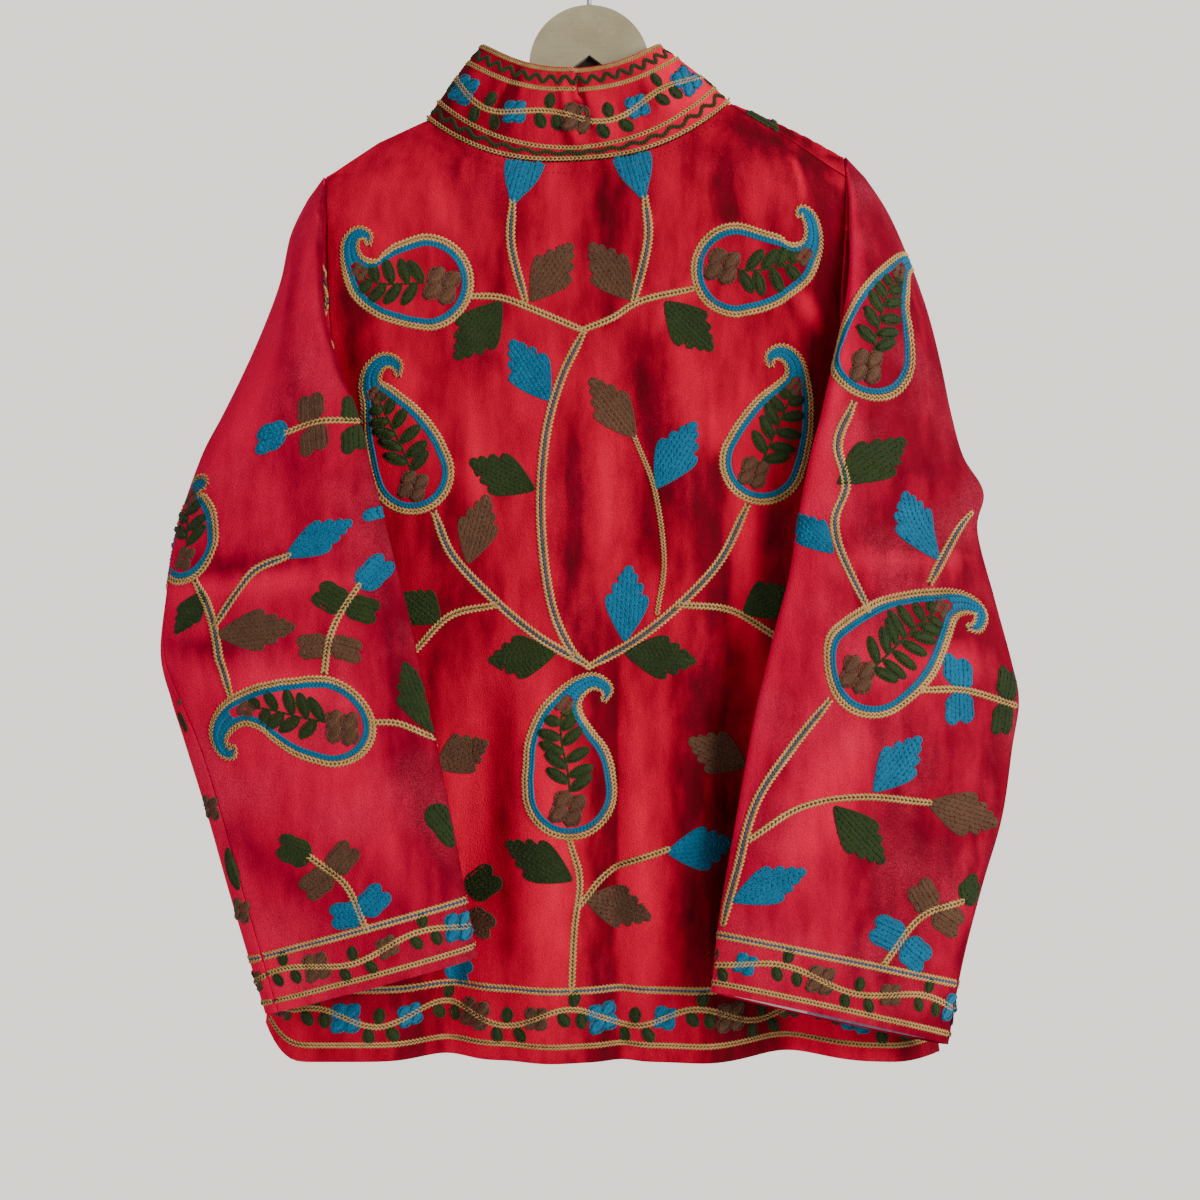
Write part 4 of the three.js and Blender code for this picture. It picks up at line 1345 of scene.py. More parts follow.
def level_line(u: Array, v: Array | float) -> Array:
    """Places across at one level, or at a level for each."""
    return columns(u, v + 0 * u)


def run_of(line: Array) -> Array:
    """Distance along a line to each of its places."""
    return np.concatenate([[0], np.cumsum(np.linalg.norm(np.diff(line, axis=0), axis=1))])


def ways_of(line: Array) -> tuple[Array, Array]:
    """Directions ahead and to the left at each place of a line."""
    ahead = unit(np.gradient(line, axis=0))
    return ahead, columns(-ahead[:, 1], ahead[:, 0])


def places_at(line: Array, run: Array, at: Array) -> Array:
    """Places on a line at given distances along it."""
    return columns(np.interp(at, run, line[:, 0]), np.interp(at, run, line[:, 1]))


def rounded(outline: Array) -> Array:
    """Closed outline with its corners cut once."""
    following = np.roll(outline, -1, axis=0)
    pairs = np.stack([0.75 * outline + 0.25 * following, 0.25 * outline + 0.75 * following], axis=1)
    return pairs.reshape(-1, 2)


def drawn_in(outline: Array, distance: float) -> Array:
    """Closed outline drawn in towards its middle."""
    middle = outline.mean(axis=0)
    reach = np.linalg.norm(outline - middle, axis=1, keepdims=True)
    return middle + (outline - middle) * np.maximum(0.1, 1 - distance / np.maximum(reach, 1e-6))


STITCH = np.array([
    (-0.5, -0.26, 0.0), (-0.5, 0.26, 0.0), (0.1, 0.5, 0.0), (0.5, 0.24, 0.0),
    (0.5, -0.24, 0.0), (0.1, -0.5, 0.0), (-0.22, 0.0, 1.0), (0.26, 0.0, 0.92),
])
STITCH_FACES = np.array([
    (0, 5, 6), (5, 4, 7), (5, 7, 6), (4, 3, 7), (3, 2, 7), (2, 1, 6), (2, 6, 7), (1, 0, 6),
    (0, 1, 2), (0, 2, 3), (0, 3, 4), (0, 4, 5),
])
STRAND = np.array([
    (-0.55, -0.34, 0.0), (-0.55, 0.34, 0.0), (0.55, 0.4, 0.0), (0.55, -0.4, 0.0),
    (-0.3, 0.0, 1.0), (0.3, 0.0, 1.0),
])
STRAND_FACES = np.array([
    (1, 0, 4), (3, 2, 5), (2, 1, 4), (2, 4, 5), (0, 3, 5), (0, 5, 4), (0, 1, 2), (0, 2, 3),
])


@dataclass
class StitchWork:
    """Chain stitches gathered over the flat places of one piece of cloth, then sewn on."""

    name: str
    lattice: Lattice
    keep: Callable[[Array, Array], Array]
    wall: float = 2.0
    pitch: float = 3.05
    row: float = 2.0
    plump: float = 1.22
    overlap: float = 1.35
    height: float = 0.85
    backing_pitch: float = 6.0
    backing_rise: float = 0.25
    gathered: dict[Thread, list[Array]] = field(default_factory=lambda: {thread: [] for thread in Thread})

    def add(
        self, start: Array, end: Array, thread: Thread, width: Array | float, slant: float = 0.0,
        rise: float = 1.0,
    ) -> None:
        """Gathers stitches between pairs of places, each turned by a slant.

        Args:
            start: Places where the stitches start.
            end: Places where they end.
            thread: The thread.
            width: Width of the stitches, or one for each.
            slant: Turn of each stitch from its way, in radians.
            rise: Share of the full height that they stand up.
        """
        chord = end - start
        length = np.linalg.norm(chord, axis=1) * self.overlap
        turn = np.arctan2(chord[:, 1], chord[:, 0]) + slant
        middle = (start + end) / 2
        wide = np.broadcast_to(width, len(middle))
        high = np.full(len(middle), rise)
        self.gathered[thread].append(columns(middle, turn, length, wide, high))

    def run(
        self, line: Array, thread: Thread, width: Array | float | None = None, slant: float = 0.0,
        pitch: float | None = None, rise: float = 1.0,
    ) -> None:
        """Gathers one chain row along a line.

        Args:
            line: Places along the row.
            thread: The thread.
            width: Width of the stitches, or one for each place.
            slant: Turn of each stitch from the row's way, in radians.
            pitch: Length of a stitch, where it isn't the usual one.
            rise: Share of the full height that they stand up.
        """
        length = run_of(line)
        if length[-1] < 0.8:
            return
        at = np.linspace(0, length[-1], max(1, round(length[-1] / (pitch or self.pitch))) + 1)
        knots = places_at(line, length, at)
        wide = self.row * self.plump if width is None else width
        if np.ndim(wide):
            wide = np.interp((at[1:] + at[:-1]) / 2, length, wide)
        self.add(knots[:-1], knots[1:], thread, wide, slant, rise)

    def backing(self, line: Array, width: Array | float) -> None:
        """Gathers one low brown row of long stitches, which lies under gold rows."""
        self.run(line, BROWN, width, pitch=self.backing_pitch, rise=self.backing_rise)

    def strands(self, line: Array, width: Array | float, way: int) -> None:
        """Gathers one gold row of slanting strands."""
        self.run(line, GOLD, 0.86 * np.asarray(width), way * -0.5, max(2.5, 0.95 * float(np.max(width))))

    def braid(self, line: Array, width: float) -> None:
        """Gathers two gold rows side by side whose strands slant towards each other."""
        self.backing(line, 0.5 * width)
        for way in (1, -1):
            self.strands(beside(line, way * width / 4), width * 0.6, way)

    def ring(self, outline: Array, thread: Thread) -> None:
        """Gathers one closed chain row of short stitches."""
        self.run(np.vstack([outline, outline[:1]]), thread, pitch=2.2)

    def fill(self, outline: Array, thread: Thread, turn: float, under: bool = False) -> None:
        """Gathers wavy rows that fill a closed outline.

        Args:
            outline: Corners of the outline.
            thread: The thread.
            turn: Direction of the rows, in radians.
            under: Whether the rows are the coarse, low ones that lie under the others.
        """
        fine = (self.row * 0.94, self.pitch, self.row * self.plump, 1.0)
        row, pitch, wide, rise = (3.2, 4.0, 4.6, 0.4) if under else fine
        level_way = np.array([[math.cos(turn), math.sin(turn)], [-math.sin(turn), math.cos(turn)]])
        laid = outline @ level_way.T
        following = np.roll(laid, -1, axis=0)
        low, high = laid[:, 1].min(), laid[:, 1].max()
        for level in np.arange(low + 0.5 * row, high, row):
            crosses = (laid[:, 1] > level) != (following[:, 1] > level)
            start, end = laid[crosses], following[crosses]
            share = (level - start[:, 1]) / (end[:, 1] - start[:, 1])
            places = np.sort(start[:, 0] + (end[:, 0] - start[:, 0]) * share)
            for left, right in zip(places[::2], places[1::2]):
                if right - left < 1.4:
                    continue
                at = np.linspace(left, right, max(1, round((right - left) / pitch)) + 1)
                wave = level + 0.42 * np.sin(0.95 * at + 1.9 * level)
                knots = columns(at, wave) @ level_way
                slant = 0.25 * math.sin(2.3 * level)
                self.add(knots[:-1], knots[1:], thread, wide, slant, rise)

    def leaf(self, leaf: Leaf) -> None:
        """Gathers a leaf: a row round its outline and rows that slant to its axis."""
        base = np.array([leaf.base_u, leaf.base_v])
        axis = np.array([leaf.tip_u, leaf.tip_v]) - base
        length = float(np.linalg.norm(axis))
        ahead = axis / length
        side = np.array([ahead[1], -ahead[0]])
        half = np.array(leaf.shape.value)
        right = base + half[:, :1] * leaf.width * side + half[:, 1:] * axis
        left = base - half[::-1, :1] * leaf.width * side + half[::-1, 1:] * axis * 0.985
        outline = rounded(np.vstack([right, left]))
        self.ring(drawn_in(outline, 0.3 * self.row), leaf.thread)
        turn = math.atan2(axis[1], axis[0])
        if leaf.shape is OVAL:
            ends = base + np.outer((0.16, 0.84), axis)
            self.add(ends[:1], ends[1:], leaf.thread, 0.75 * leaf.width, 0.0, 0.5)
        else:
            self.fill(drawn_in(outline, 1.3), leaf.thread, turn, True)
        if leaf.shape is LOBED:
            slant = math.atan2(0.5 * leaf.width, 0.5 * length)
            spine = np.vstack([base + axis * 0.98, base + axis * 0.02])
            self.fill(drawn_in(np.vstack([right, spine]), 0.75 * self.row), leaf.thread, turn - slant)
            self.fill(drawn_in(np.vstack([left, spine[::-1]]), 0.75 * self.row), leaf.thread, turn + slant)
        else:
            self.fill(drawn_in(outline, 0.9 * self.row), leaf.thread, turn)

    def flower(self, flower: Flower) -> None:
        """Gathers a flower whose petals are swirls."""
        petal = flower.radius * 0.48
        around = np.linspace(0, 2 * np.pi, 17)
        for k in range(4):
            turn = flower.turn + k * np.pi / 2
            u = flower.u + 0.56 * flower.radius * math.cos(turn)
            v = flower.v + 0.56 * flower.radius * math.sin(turn)
            heart = np.array([[u, v]])
            self.add(heart - petal * 0.6, heart + petal * 0.6, flower.thread, petal * 1.5, 0.0, 0.5)
            for radius in np.arange(petal - 0.4 * self.row, 0.35, -self.row * 0.95):
                swirl = columns(u + radius * np.cos(around + turn), v + radius * np.sin(around + turn))
                self.run(swirl, flower.thread)

    def stem(self, stem: Stem) -> None:
        """Gathers a stem: a gold row, or two slanting ones, parted by a thin blue one where wide."""
        line = curve(stem.places)
        before = line[:1] + 2.5 * unit(line[:1] - line[1:2])
        after = line[-1:] + 2.5 * unit(line[-1:] - line[-2:-1])
        line = np.vstack([before, line, after])
        if stem.spread == 0:
            self.braid(line, 3.6)
            return
        run = run_of(line)
        from_end = np.minimum(run, run[-1] - run)
        part = mix(1.25, stem.spread, smooth(from_end / 16))
        for way in (1, -1):
            self.strands(beside(line, way * part), 3.1, way)
        self.backing(line, 2.2)
        inner = line[from_end > 7]
        if stem.spread > 1.7 and len(inner) > 2:
            self.run(inner, BLUE, 1.7)

    def paisley(self, paisley: Paisley) -> None:
        """Gathers a paisley: gold and blue bands, and a sprig with two flowers inside."""
        spine = curve(paisley.spine, 1.2)
        ahead, sideways = ways_of(spine[:, :2])
        slim = np.clip(spine[:, 2] / 13, 0.42, 1)
        round_end = np.linspace(0, np.pi, 24)[1:-1, None]
        bands = ((2.5, BROWN, 0), (1.3, GOLD, -1), (3.7, GOLD, 1), (6.0, BLUE, 1), (8.0, BLUE, -1))
        for inset, thread, way in bands:
            reach = spine[:, 2] - inset * slim
            shown = reach > 0.35
            reach, middle, out = reach[shown], spine[shown, :2], sideways[shown]
            if len(reach) < 3:
                continue
            cap = middle[0] + reach[0] * (np.cos(round_end) * out[0] - np.sin(round_end) * ahead[0])
            left = middle + out * reach[:, None]
            right = middle - out * reach[:, None]
            wide = 3.1 * np.maximum(slim[shown], 0.62)
            widths = np.concatenate([wide[::-1], np.full(len(cap), wide[0]), wide])
            band = np.vstack([left[::-1], cap, right])
            if way == 0:
                self.backing(band, 0.8 * widths)
            elif thread is GOLD:
                self.strands(band, widths, way)
            else:
                self.run(band, thread, 1.06 * widths, 0.2 * way, 2.6)
        reach = spine[:, 2] - 7.2 * slim
        tail = (spine[:, 2] < 10.5) & (reach > 0.6)
        if tail.sum() > 2:
            for way in (1, -1):
                inner = spine[tail, :2] + sideways[tail] * way * reach[tail, None] / 2
                self.run(inner, BLUE, 1.5 * reach[tail] + 0.6, 0.2 * way, 2.6)
        self.sprig(spine, ahead, sideways)

    def sprig(self, spine: Array, ahead: Array, sideways: Array) -> None:
        """Gathers the leaves and flowers inside a paisley."""
        room = spine[:, 2] - 10.2
        widest = float(room[0])
        if widest < 6:
            return
        inside = spine[room > 3.2]
        run = run_of(inside[:, :2])
        flower_at = spine[0, :2] - ahead[0] * widest * 0.46 + sideways[0] * widest * 0.12
        self.flower(Flower(BROWN, *flower_at, 0.56 * widest, 0.5))
        last = len(inside) - 1
        self.flower(Flower(BROWN, *inside[last, :2], 7.2, 0.1))
        self.run(inside[: max(3, last - 3), :2], GREEN)
        for number, place in enumerate(np.arange(0.5, run[-1] - 6, 5.6)):
            k = int(np.searchsorted(run, place))
            way = 1 if number % 2 else -1
            size = min(19.0, 0.98 * float(room[k]) + 1.6)
            heading = unit(ahead[k] * (0.5 + 0.3 * math.sin(2.6 * number)) + sideways[k] * way * 0.85)
            tip = inside[k, :2] + heading * (size + 0.8)
            self.leaf(Leaf(GREEN, OVAL, *inside[k, :2], *tip, 8.6))

    def zigzag(self, line: Array, swing: Array | float, pitch: float) -> None:
        """Gathers a rounded green zigzag along a line."""
        run = run_of(line)
        at = np.arange(0, run[-1], pitch / 12)
        base = places_at(line, run, at)
        reach = np.interp(at, run, np.broadcast_to(swing, len(line)))
        self.run(beside(base, reach * np.sin(at / pitch * 2 * np.pi)), GREEN, 4.6, 0.0, 2.0)

    def parted_line(self, line: Array) -> None:
        """Gathers a border line of two gold rows with thin blue between them."""
        for way in (1, -1):
            self.strands(beside(line, way * 1.75), 2.9, way)
        self.run(line, BLUE, 1.5)

    def vine(
        self, line: Array, swing: float, wave: float, start: float, flowers: Sequence[Thread], size: float,
        buds: Thread | None = None,
    ) -> None:
        """Gathers a border's wavy vine with flowers and leaves.

        Args:
            line: The border's middle.
            swing: How far the vine swings to each side.
            wave: Distance between two big flowers.
            start: Place of the first big flower along the line.
            flowers: Threads of the big flowers, in turn.
            size: Radius of a big flower.
            buds: Thread of every small flower, where each doesn't follow the big one before it.
        """
        run = run_of(line)
        at = np.arange(0, run[-1], 2.0)
        middle = places_at(line, run, at)
        swung = beside(middle, -swing * np.sin((at - start) / wave * 2 * np.pi))
        self.braid(swung, 4.8)
        ahead, sideways = ways_of(swung)
        half = wave / 2
        for k in range(-int(start // half) - 1, int((run[-1] - start) // half) + 2):
            place = start + k * half
            big = k % 2 == 0
            thread = buds if buds and not big else flowers[(k // 2) % len(flowers)]
            if 4 < place < run[-1] - 4:
                i = int(np.clip(np.searchsorted(at, place), 1, len(at) - 2))
                radius = size if big else size * 0.76
                self.flower(Flower(thread, *swung[i], radius, np.pi / 4 + 0.22 * math.sin(2.1 * k)))
            for shift, way in ((-0.16, -1), (0.02, 1), (0.15, -1)):
                spot = place + half * (0.5 + shift)
                if not 6 < spot < run[-1] - 6:
                    continue
                j = int(np.clip(np.searchsorted(at, spot), 1, len(at) - 2))
                base = swung[j] + sideways[j] * way * 1.6
                tip = base + unit(sideways[j] * way + ahead[j] * (0.42 if way < 0 else 0.15)) * size * 0.98
                self.leaf(Leaf(GREEN, OVAL, *base, *tip, 0.7 * size))

    def topstitch(self, line: Array) -> None:
        """Gathers a row of short plain stitches."""
        run = run_of(line)
        at = np.arange(1, run[-1] - 3, 4.2)
        self.add(places_at(line, run, at), places_at(line, run, at + 1.7), RED, 0.8)

    def draw(self, design: Sequence[Leaf | Stem | Paisley | Flower]) -> None:
        """Gathers every motif of a design."""
        ways = {Leaf: self.leaf, Stem: self.stem, Paisley: self.paisley, Flower: self.flower}
        for motif in design:
            ways[type(motif)](motif)

    def sew(self, wardrobe: "Wardrobe") -> list[Piece]:
        """Makes one mesh for each thread.

        Args:
            wardrobe: The finishes.

        Returns:
            The meshes.
        """
        pieces = []
        chance = np.random.default_rng(len(self.name) * 101)
        for thread, parts in self.gathered.items():
            if not parts:
                continue
            rows = np.concatenate(parts)
            rows = rows[self.keep(rows[:, 0], rows[:, 1])]
            if not len(rows):
                continue
            place, across, up, normal = self.lattice.frames(rows[:, 0], rows[:, 1])
            turn = rows[:, 2] + chance.normal(0, 0.05, len(rows))
            ahead = unit(np.cos(turn)[:, None] * across + np.sin(turn)[:, None] * up)
            side = np.cross(normal, ahead)
            top = self.height * (1.35 if thread is GOLD else 1.0)
            lift = top * chance.uniform(0.85, 1.15, len(rows))
            form, form_faces = (STRAND, STRAND_FACES) if thread is GOLD else (STITCH, STITCH_FACES)
            x = form[None, :, 0] * rows[:, 3, None]
            y = form[None, :, 1] * rows[:, 4, None]
            sunk = np.where(rows[:, 5] < 1, 0.16, -0.12)[:, None]
            z = self.wall / 2 + sunk + form[None, :, 2] * (lift * rows[:, 5])[:, None]
            corners = place[:, None] + ahead[:, None] * x[..., None]
            corners = corners + side[:, None] * y[..., None] + normal[:, None] * z[..., None]
            faces = (form_faces[None] + len(form) * np.arange(len(rows))[:, None, None]).reshape(-1, 3)
            uv = np.tile(form[:, :2] + 0.5, (len(rows), 1))
            piece = mesh_piece(f"{self.name}_{thread.name.lower()}", corners.reshape(-1, 3), faces, uv)
            wardrobe.dress(piece, thread.value)
            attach(piece, "root")
            log.info("%s: %d stitches, %d triangles", piece.name, len(rows), len(faces))
            pieces.append(piece)
        return pieces


# Designs, in flat millimetres of each piece

Design = tuple[Leaf | Stem | Paisley | Flower, ...]

BACK_DESIGN: Design = (
    Paisley(((-122, -283, 35.9), (-137, -284, 32.2), (-152, -284, 26.4), (-165, -280, 18.3),
        (-175, -268, 9.5), (-177, -254, 6.6), (-171, -247, 5.5), (-164, -249, 4.0), (-164, -256, 2.2))),
    Paisley(((107, -274, 35.2), (122, -274, 31.5), (136, -272, 26.4), (150, -268, 18.3),
        (160, -258, 9.5), (162, -246, 6.6), (159, -235, 5.5), (153, -230, 4.0), (152, -236, 2.2))),
    Paisley(((-132, -422, 31.5), (-138, -406, 30.0), (-147, -387, 24.9), (-155, -371, 16.9),
        (-162, -358, 9.5), (-160, -347, 7.3), (-152, -340, 5.9), (-143, -343, 4.8), (-142, -352, 2.2))),
    Paisley(((125, -414, 32.2), (132, -398, 30.0), (140, -380, 24.9), (147, -364, 16.9),
        (150, -351, 9.5), (147, -340, 7.3), (139, -334, 6.2), (131, -337, 4.8), (131, -345, 2.2))),
    Paisley(((-16, -656, 35.0), (-18, -638, 33.6), (-22, -619, 27.7), (-22, -601, 19.0),
        (-17, -587, 10.9), (-8, -578, 7.7), (2, -575, 6.2), (11, -581, 4.8), (8, -590, 2.2))),
    Stem(2.2, ((-58, -225), (-59, -256), (-49, -296))),
    Stem(2.2, ((39, -222), (41, -252), (31, -296))),
    Stem(1.4, ((-88, -293), (-67, -294), (-45, -302), (-7, -318))),
    Stem(1.4, ((-7, -318), (15, -309), (35, -297), (72, -288))),
    Stem(2.2, ((-7, -321), (-23, -355), (-34, -399), (-37, -457), (-30, -516), (-16, -551), (-3, -564))),
    Stem(0, ((32, -398), (46, -435), (53, -486), (48, -524))),
    Stem(2.2, ((-115, -453), (-102, -483), (-71, -516), (-38, -543), (-5, -562))),
    Stem(2.2, ((113, -448), (94, -486), (64, -519), (32, -545), (0, -563))),
    Stem(1.4, ((-70, -519), (-104, -527), (-129, -552))),
    Stem(1.4, ((64, -519), (102, -523), (137, -543))),
    Stem(1.4, ((-16, -692), (-9, -720), (-13, -756), (-15, -799))),
    Stem(1.4, ((-9, -738), (13, -715), (55, -698))),
    Leaf(BLUE, TULIP, -58, -226, -49, -195, 32),
    Leaf(BLUE, TULIP, 38, -222, 29, -190, 32),
    Leaf(BROWN, LOBED, -45, -297, -15, -255, 31),
    Leaf(BROWN, LOBED, 29, -296, -1, -255, 31),
    Leaf(GREEN, LOBED, -66, -297, -99, -339, 34),
    Leaf(GREEN, LOBED, 53, -297, 88, -332, 32),
    Leaf(BLUE, LOBED, -31, -370, -59, -326, 32),
    Leaf(BROWN, LOBED, 32, -397, -1, -354, 29),
    Leaf(BLUE, LOBED, 47, -434, 75, -386, 31),
    Leaf(GREEN, LOBED, -41, -435, -89, -414, 31),
    Leaf(BROWN, LOBED, -91, -489, -77, -439, 29),
    Leaf(GREEN, LOBED, -111, -532, -138, -511, 29),
    Leaf(GREEN, LOBED, 111, -525, 144, -507, 29),
    Leaf(BLUE, LOBED, 24, -546, 27, -491, 31),
    Leaf(GREEN, LOBED, -26, -554, -75, -560, 31),
    Leaf(GREEN, LOBED, 24, -554, 75, -560, 31),
    Leaf(BROWN, LOBED, -116, -639, -77, -620, 31),
    Leaf(BROWN, LOBED, 115, -639, 71, -618, 31),
    Leaf(GREEN, LOBED, -14, -720, -62, -694, 31),
    Leaf(BLUE, LOBED, 55, -700, 104, -695, 31),
    Leaf(BROWN, LOBED, -6, -733, 43, -748, 31),
    Leaf(GREEN, TWIN, -92, -734, -69, -716, 24),
    Leaf(BROWN, TWIN, -92, -749, -72, -760, 21),
    Leaf(BLUE, TWIN, -109, -786, -89, -795, 21),
)
LEFT_SLEEVE_DESIGN: Design = (
    Paisley(((114, -423, 34.8), (98, -418, 31.3), (83, -412, 25.0), (70, -408, 17.9), (55, -408, 12.2),
        (42, -414, 9.3), (33, -424, 7.2), (33, -434, 5.7), (39, -437, 3.9), (42, -431, 2.2))),
    Paisley(((18, -282, 26.8), (15, -269, 24.7), (11, -256, 18.2), (10, -246, 10.2), (16, -242, 5.8),
        (22, -244, 2.2))),
    Stem(1.4, ((72, -210), (92, -201), (118, -197))),
    Stem(2.2, ((30, -309), (46, -339), (52, -369), (51, -396))),
    Stem(2.2, ((49, -343), (72, -309), (100, -299))),
    Stem(1.4, ((125, -386), (138, -356), (154, -331))),
    Stem(1.4, ((147, -428), (164, -432), (183, -448))),
    Stem(1.4, ((74, -516), (92, -541), (97, -575))),
    Stem(2.2, ((82, -76), (112, -117), (89, -136))),
    Leaf(BLUE, TWIN, 72, -210, 51, -218, 21),
    Leaf(BROWN, TWIN, 86, -202, 76, -182, 20),
    Leaf(BROWN, TWIN, 89, -205, 100, -224, 20),
    Leaf(GREEN, TWIN, 115, -198, 107, -175, 19),
    Leaf(GREEN, TWIN, 117, -201, 128, -222, 19),
    Leaf(GREEN, LOBED, 37, -315, 17, -345, 24),
    Leaf(BLUE, LOBED, 98, -300, 143, -278, 28),
    Leaf(BLUE, TWIN, 150, -275, 168, -272, 11),
    Leaf(BROWN, LOBED, 50, -350, 109, -353, 29),
    Leaf(BLUE, TWIN, 155, -332, 174, -312, 24),
    Leaf(GREEN, TWIN, 146, -344, 123, -328, 20),
    Leaf(GREEN, TWIN, 147, -343, 170, -353, 18),
    Leaf(BROWN, TWIN, 133, -369, 109, -368, 18),
    Leaf(BROWN, TWIN, 133, -369, 155, -378, 18),
    Leaf(GREEN, LOBED, 185, -445, 181, -388, 29),
    Leaf(GREEN, TWIN, 165, -502, 178, -536, 20),
    Leaf(GREEN, TWIN, 74, -516, 52, -501, 21),
    Leaf(BROWN, TWIN, 85, -529, 106, -515, 20),
    Leaf(BROWN, TWIN, 85, -530, 60, -539, 20),
    Leaf(BLUE, TWIN, 98, -564, 74, -560, 20),
    Leaf(BLUE, TWIN, 97, -563, 119, -551, 20),
)
LEFT_STRIP: Design = (
    Flower(BROWN, 13, -397, 5, 0.2),
    Leaf(GREEN, OVAL, 6, -404, 8, -420, 5),
    Flower(BROWN, 8, -469, 9, 0.5),
    Leaf(GREEN, OVAL, 13, -496, 12, -526, 13),
    Flower(BROWN, 9, -540, 9.5, 0.3),
)
RIGHT_SLEEVE_DESIGN: Design = (
    Paisley(((-71, -167, 35.1), (-64, -151, 32.3), (-53, -135, 26.0), (-39, -124, 18.2),
        (-22, -116, 10.3), (-2, -115, 5.9))),
    Paisley(((-118, -400, 34.8), (-102, -386, 32.7), (-83, -370, 27.8), (-62, -355, 18.6),
        (-45, -346, 10.8), (-30, -344, 7.2), (-20, -349, 5.8), (-27, -359, 4.0), (-36, -360, 2.2))),
    Stem(2.2, ((-92, -203), (-112, -240), (-118, -306), (-110, -357))),
    Stem(2.2, ((-147, -427), (-168, -466), (-183, -506), (-183, -557), (-184, -597))),
    Stem(1.4, ((-79, -409), (-48, -405), (-7, -411))),
    Stem(2.2, ((-56, -332), (-34, -307), (-13, -282))),
    Stem(1.4, ((-179, -533), (-152, -506), (-113, -491), (-63, -487))),
    Stem(1.4, ((-65, -602), (-46, -567), (-18, -552))),
    Leaf(GREEN, LOBED, -122, -263, -58, -226, 28),
    Leaf(BLUE, LOBED, -123, -317, -146, -287, 28),
    Leaf(BLUE, LOBED, -44, -317, -73, -268, 30),
    Leaf(BLUE, TWIN, -55, -404, -50, -380, 23),
    Leaf(BLUE, TWIN, -54, -407, -49, -431, 23),
    Leaf(GREEN, TWIN, -17, -408, -7, -383, 19),
    Leaf(GREEN, TWIN, -17, -411, -15, -435, 19),
    Leaf(BLUE, LOBED, -105, -486, -77, -443, 30),
    Leaf(BROWN, LOBED, -64, -487, -6, -494, 30),
    Leaf(GREEN, LOBED, -130, -501, -83, -534, 28),
    Leaf(BLUE, LOBED, -181, -581, -137, -549, 28),
    Leaf(BROWN, TWIN, -39, -561, -57, -544, 21),
    Leaf(BROWN, TWIN, -38, -561, -12, -570, 21),
    Leaf(BLUE, TWIN, -55, -585, -81, -579, 23),
    Leaf(BLUE, TWIN, -55, -587, -34, -598, 23),
    Leaf(GREEN, TWIN, -18, -551, -6, -535, 22),
)

FRONT_DESIGN: Design = (
    Paisley(((104, -352, 34), (108, -334, 31), (114, -316, 26), (121, -299, 18), (124, -284, 11),
        (119, -272, 8), (109, -268, 6), (102, -273, 4.5), (104, -281, 2.2))),
    Paisley(((138, -640, 35), (133, -621, 32), (124, -603, 27), (113, -589, 18), (102, -580, 11),
        (91, -581, 8), (85, -589, 6), (89, -597, 4.5), (96, -595, 2.2))),
    Stem(2.2, ((98, -386), (84, -420), (66, -462), (72, -520), (96, -572), (112, -606))),
    Stem(2.2, ((134, -676), (116, -716), (98, -756), (92, -796))),
    Stem(1.4, ((66, -468), (100, -486), (148, -482), (176, -500))),
    Stem(1.4, ((104, -744), (140, -742), (176, -756))),
    Stem(1.4, ((104, -318), (84, -292), (74, -262), (82, -232))),
    Leaf(BLUE, TULIP, 82, -231, 84, -202, 32),
    Leaf(BROWN, LOBED, 78, -268, 112, -232, 30),
    Leaf(GREEN, LOBED, 84, -420, 124, -438, 32),
    Leaf(BLUE, LOBED, 108, -486, 134, -448, 30),
    Leaf(BROWN, LOBED, 112, -488, 132, -530, 30),
    Leaf(GREEN, LOBED, 158, -484, 186, -448, 30),
    Leaf(GREEN, LOBED, 74, -528, 118, -548, 30),
    Leaf(BLUE, LOBED, 112, -724, 70, -700, 30),
    Leaf(BROWN, LOBED, 116, -714, 156, -700, 30),
    Leaf(GREEN, LOBED, 176, -756, 214, -736, 30),
    Leaf(BLUE, LOBED, 150, -744, 180, -782, 30),
    Leaf(BROWN, LOBED, 98, -762, 140, -778, 30),
)


def mirrored(design: Design, about: float, down: float = 0.0) -> Design:
    """A design turned over about an upright line, and moved down.

    Args:
        design: The motifs.
        about: Place of the line across.
        down: How far the copy moves down.

    Returns:
        The motifs of the copy.
    """
    copied = []
    for motif in design:
        if isinstance(motif, Leaf):
            base_u, tip_u = 2 * about - motif.base_u, 2 * about - motif.tip_u
            places = (base_u, motif.base_v - down, tip_u, motif.tip_v - down)
            copied.append(Leaf(motif.thread, motif.shape, *places, motif.width))
        elif isinstance(motif, Stem):
            copied.append(Stem(motif.spread, tuple((2 * about - u, v - down) for u, v in motif.places)))
        elif isinstance(motif, Paisley):
            copied.append(Paisley(tuple((2 * about - u, v - down, r) for u, v, r in motif.spine)))
        else:
            copied.append(Flower(motif.thread, 2 * about - motif.u, motif.v - down, motif.radius, motif.turn))
    return tuple(copied)


# Cloth pieces


# Places across and steps down in the lattices of the pieces
BACK_LATTICE = (122, 136)
FRONT_LATTICE = (62, 126)
SLEEVE_LATTICE = (46, 138)
SIDE_MARGIN = 0.0001  # share of the back's width that stays free at each side seam


def declare(
    piece: Piece, node: str, rests: str, sewn: Sequence[Piece] = (),
) -> None:
    """Attaches a cloth piece to the root, hides the CAD node that it stands for, and logs its faces.

    Args:
        piece: The cloth.
        node: The CAD node that it stands for.
        rests: What it hangs from; not used.
        sewn: The stitches on it; not used.
    """
    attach(piece, "root")
    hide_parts(node)
    log.info("%s: %d faces", piece.name, len(piece.data.polygons))


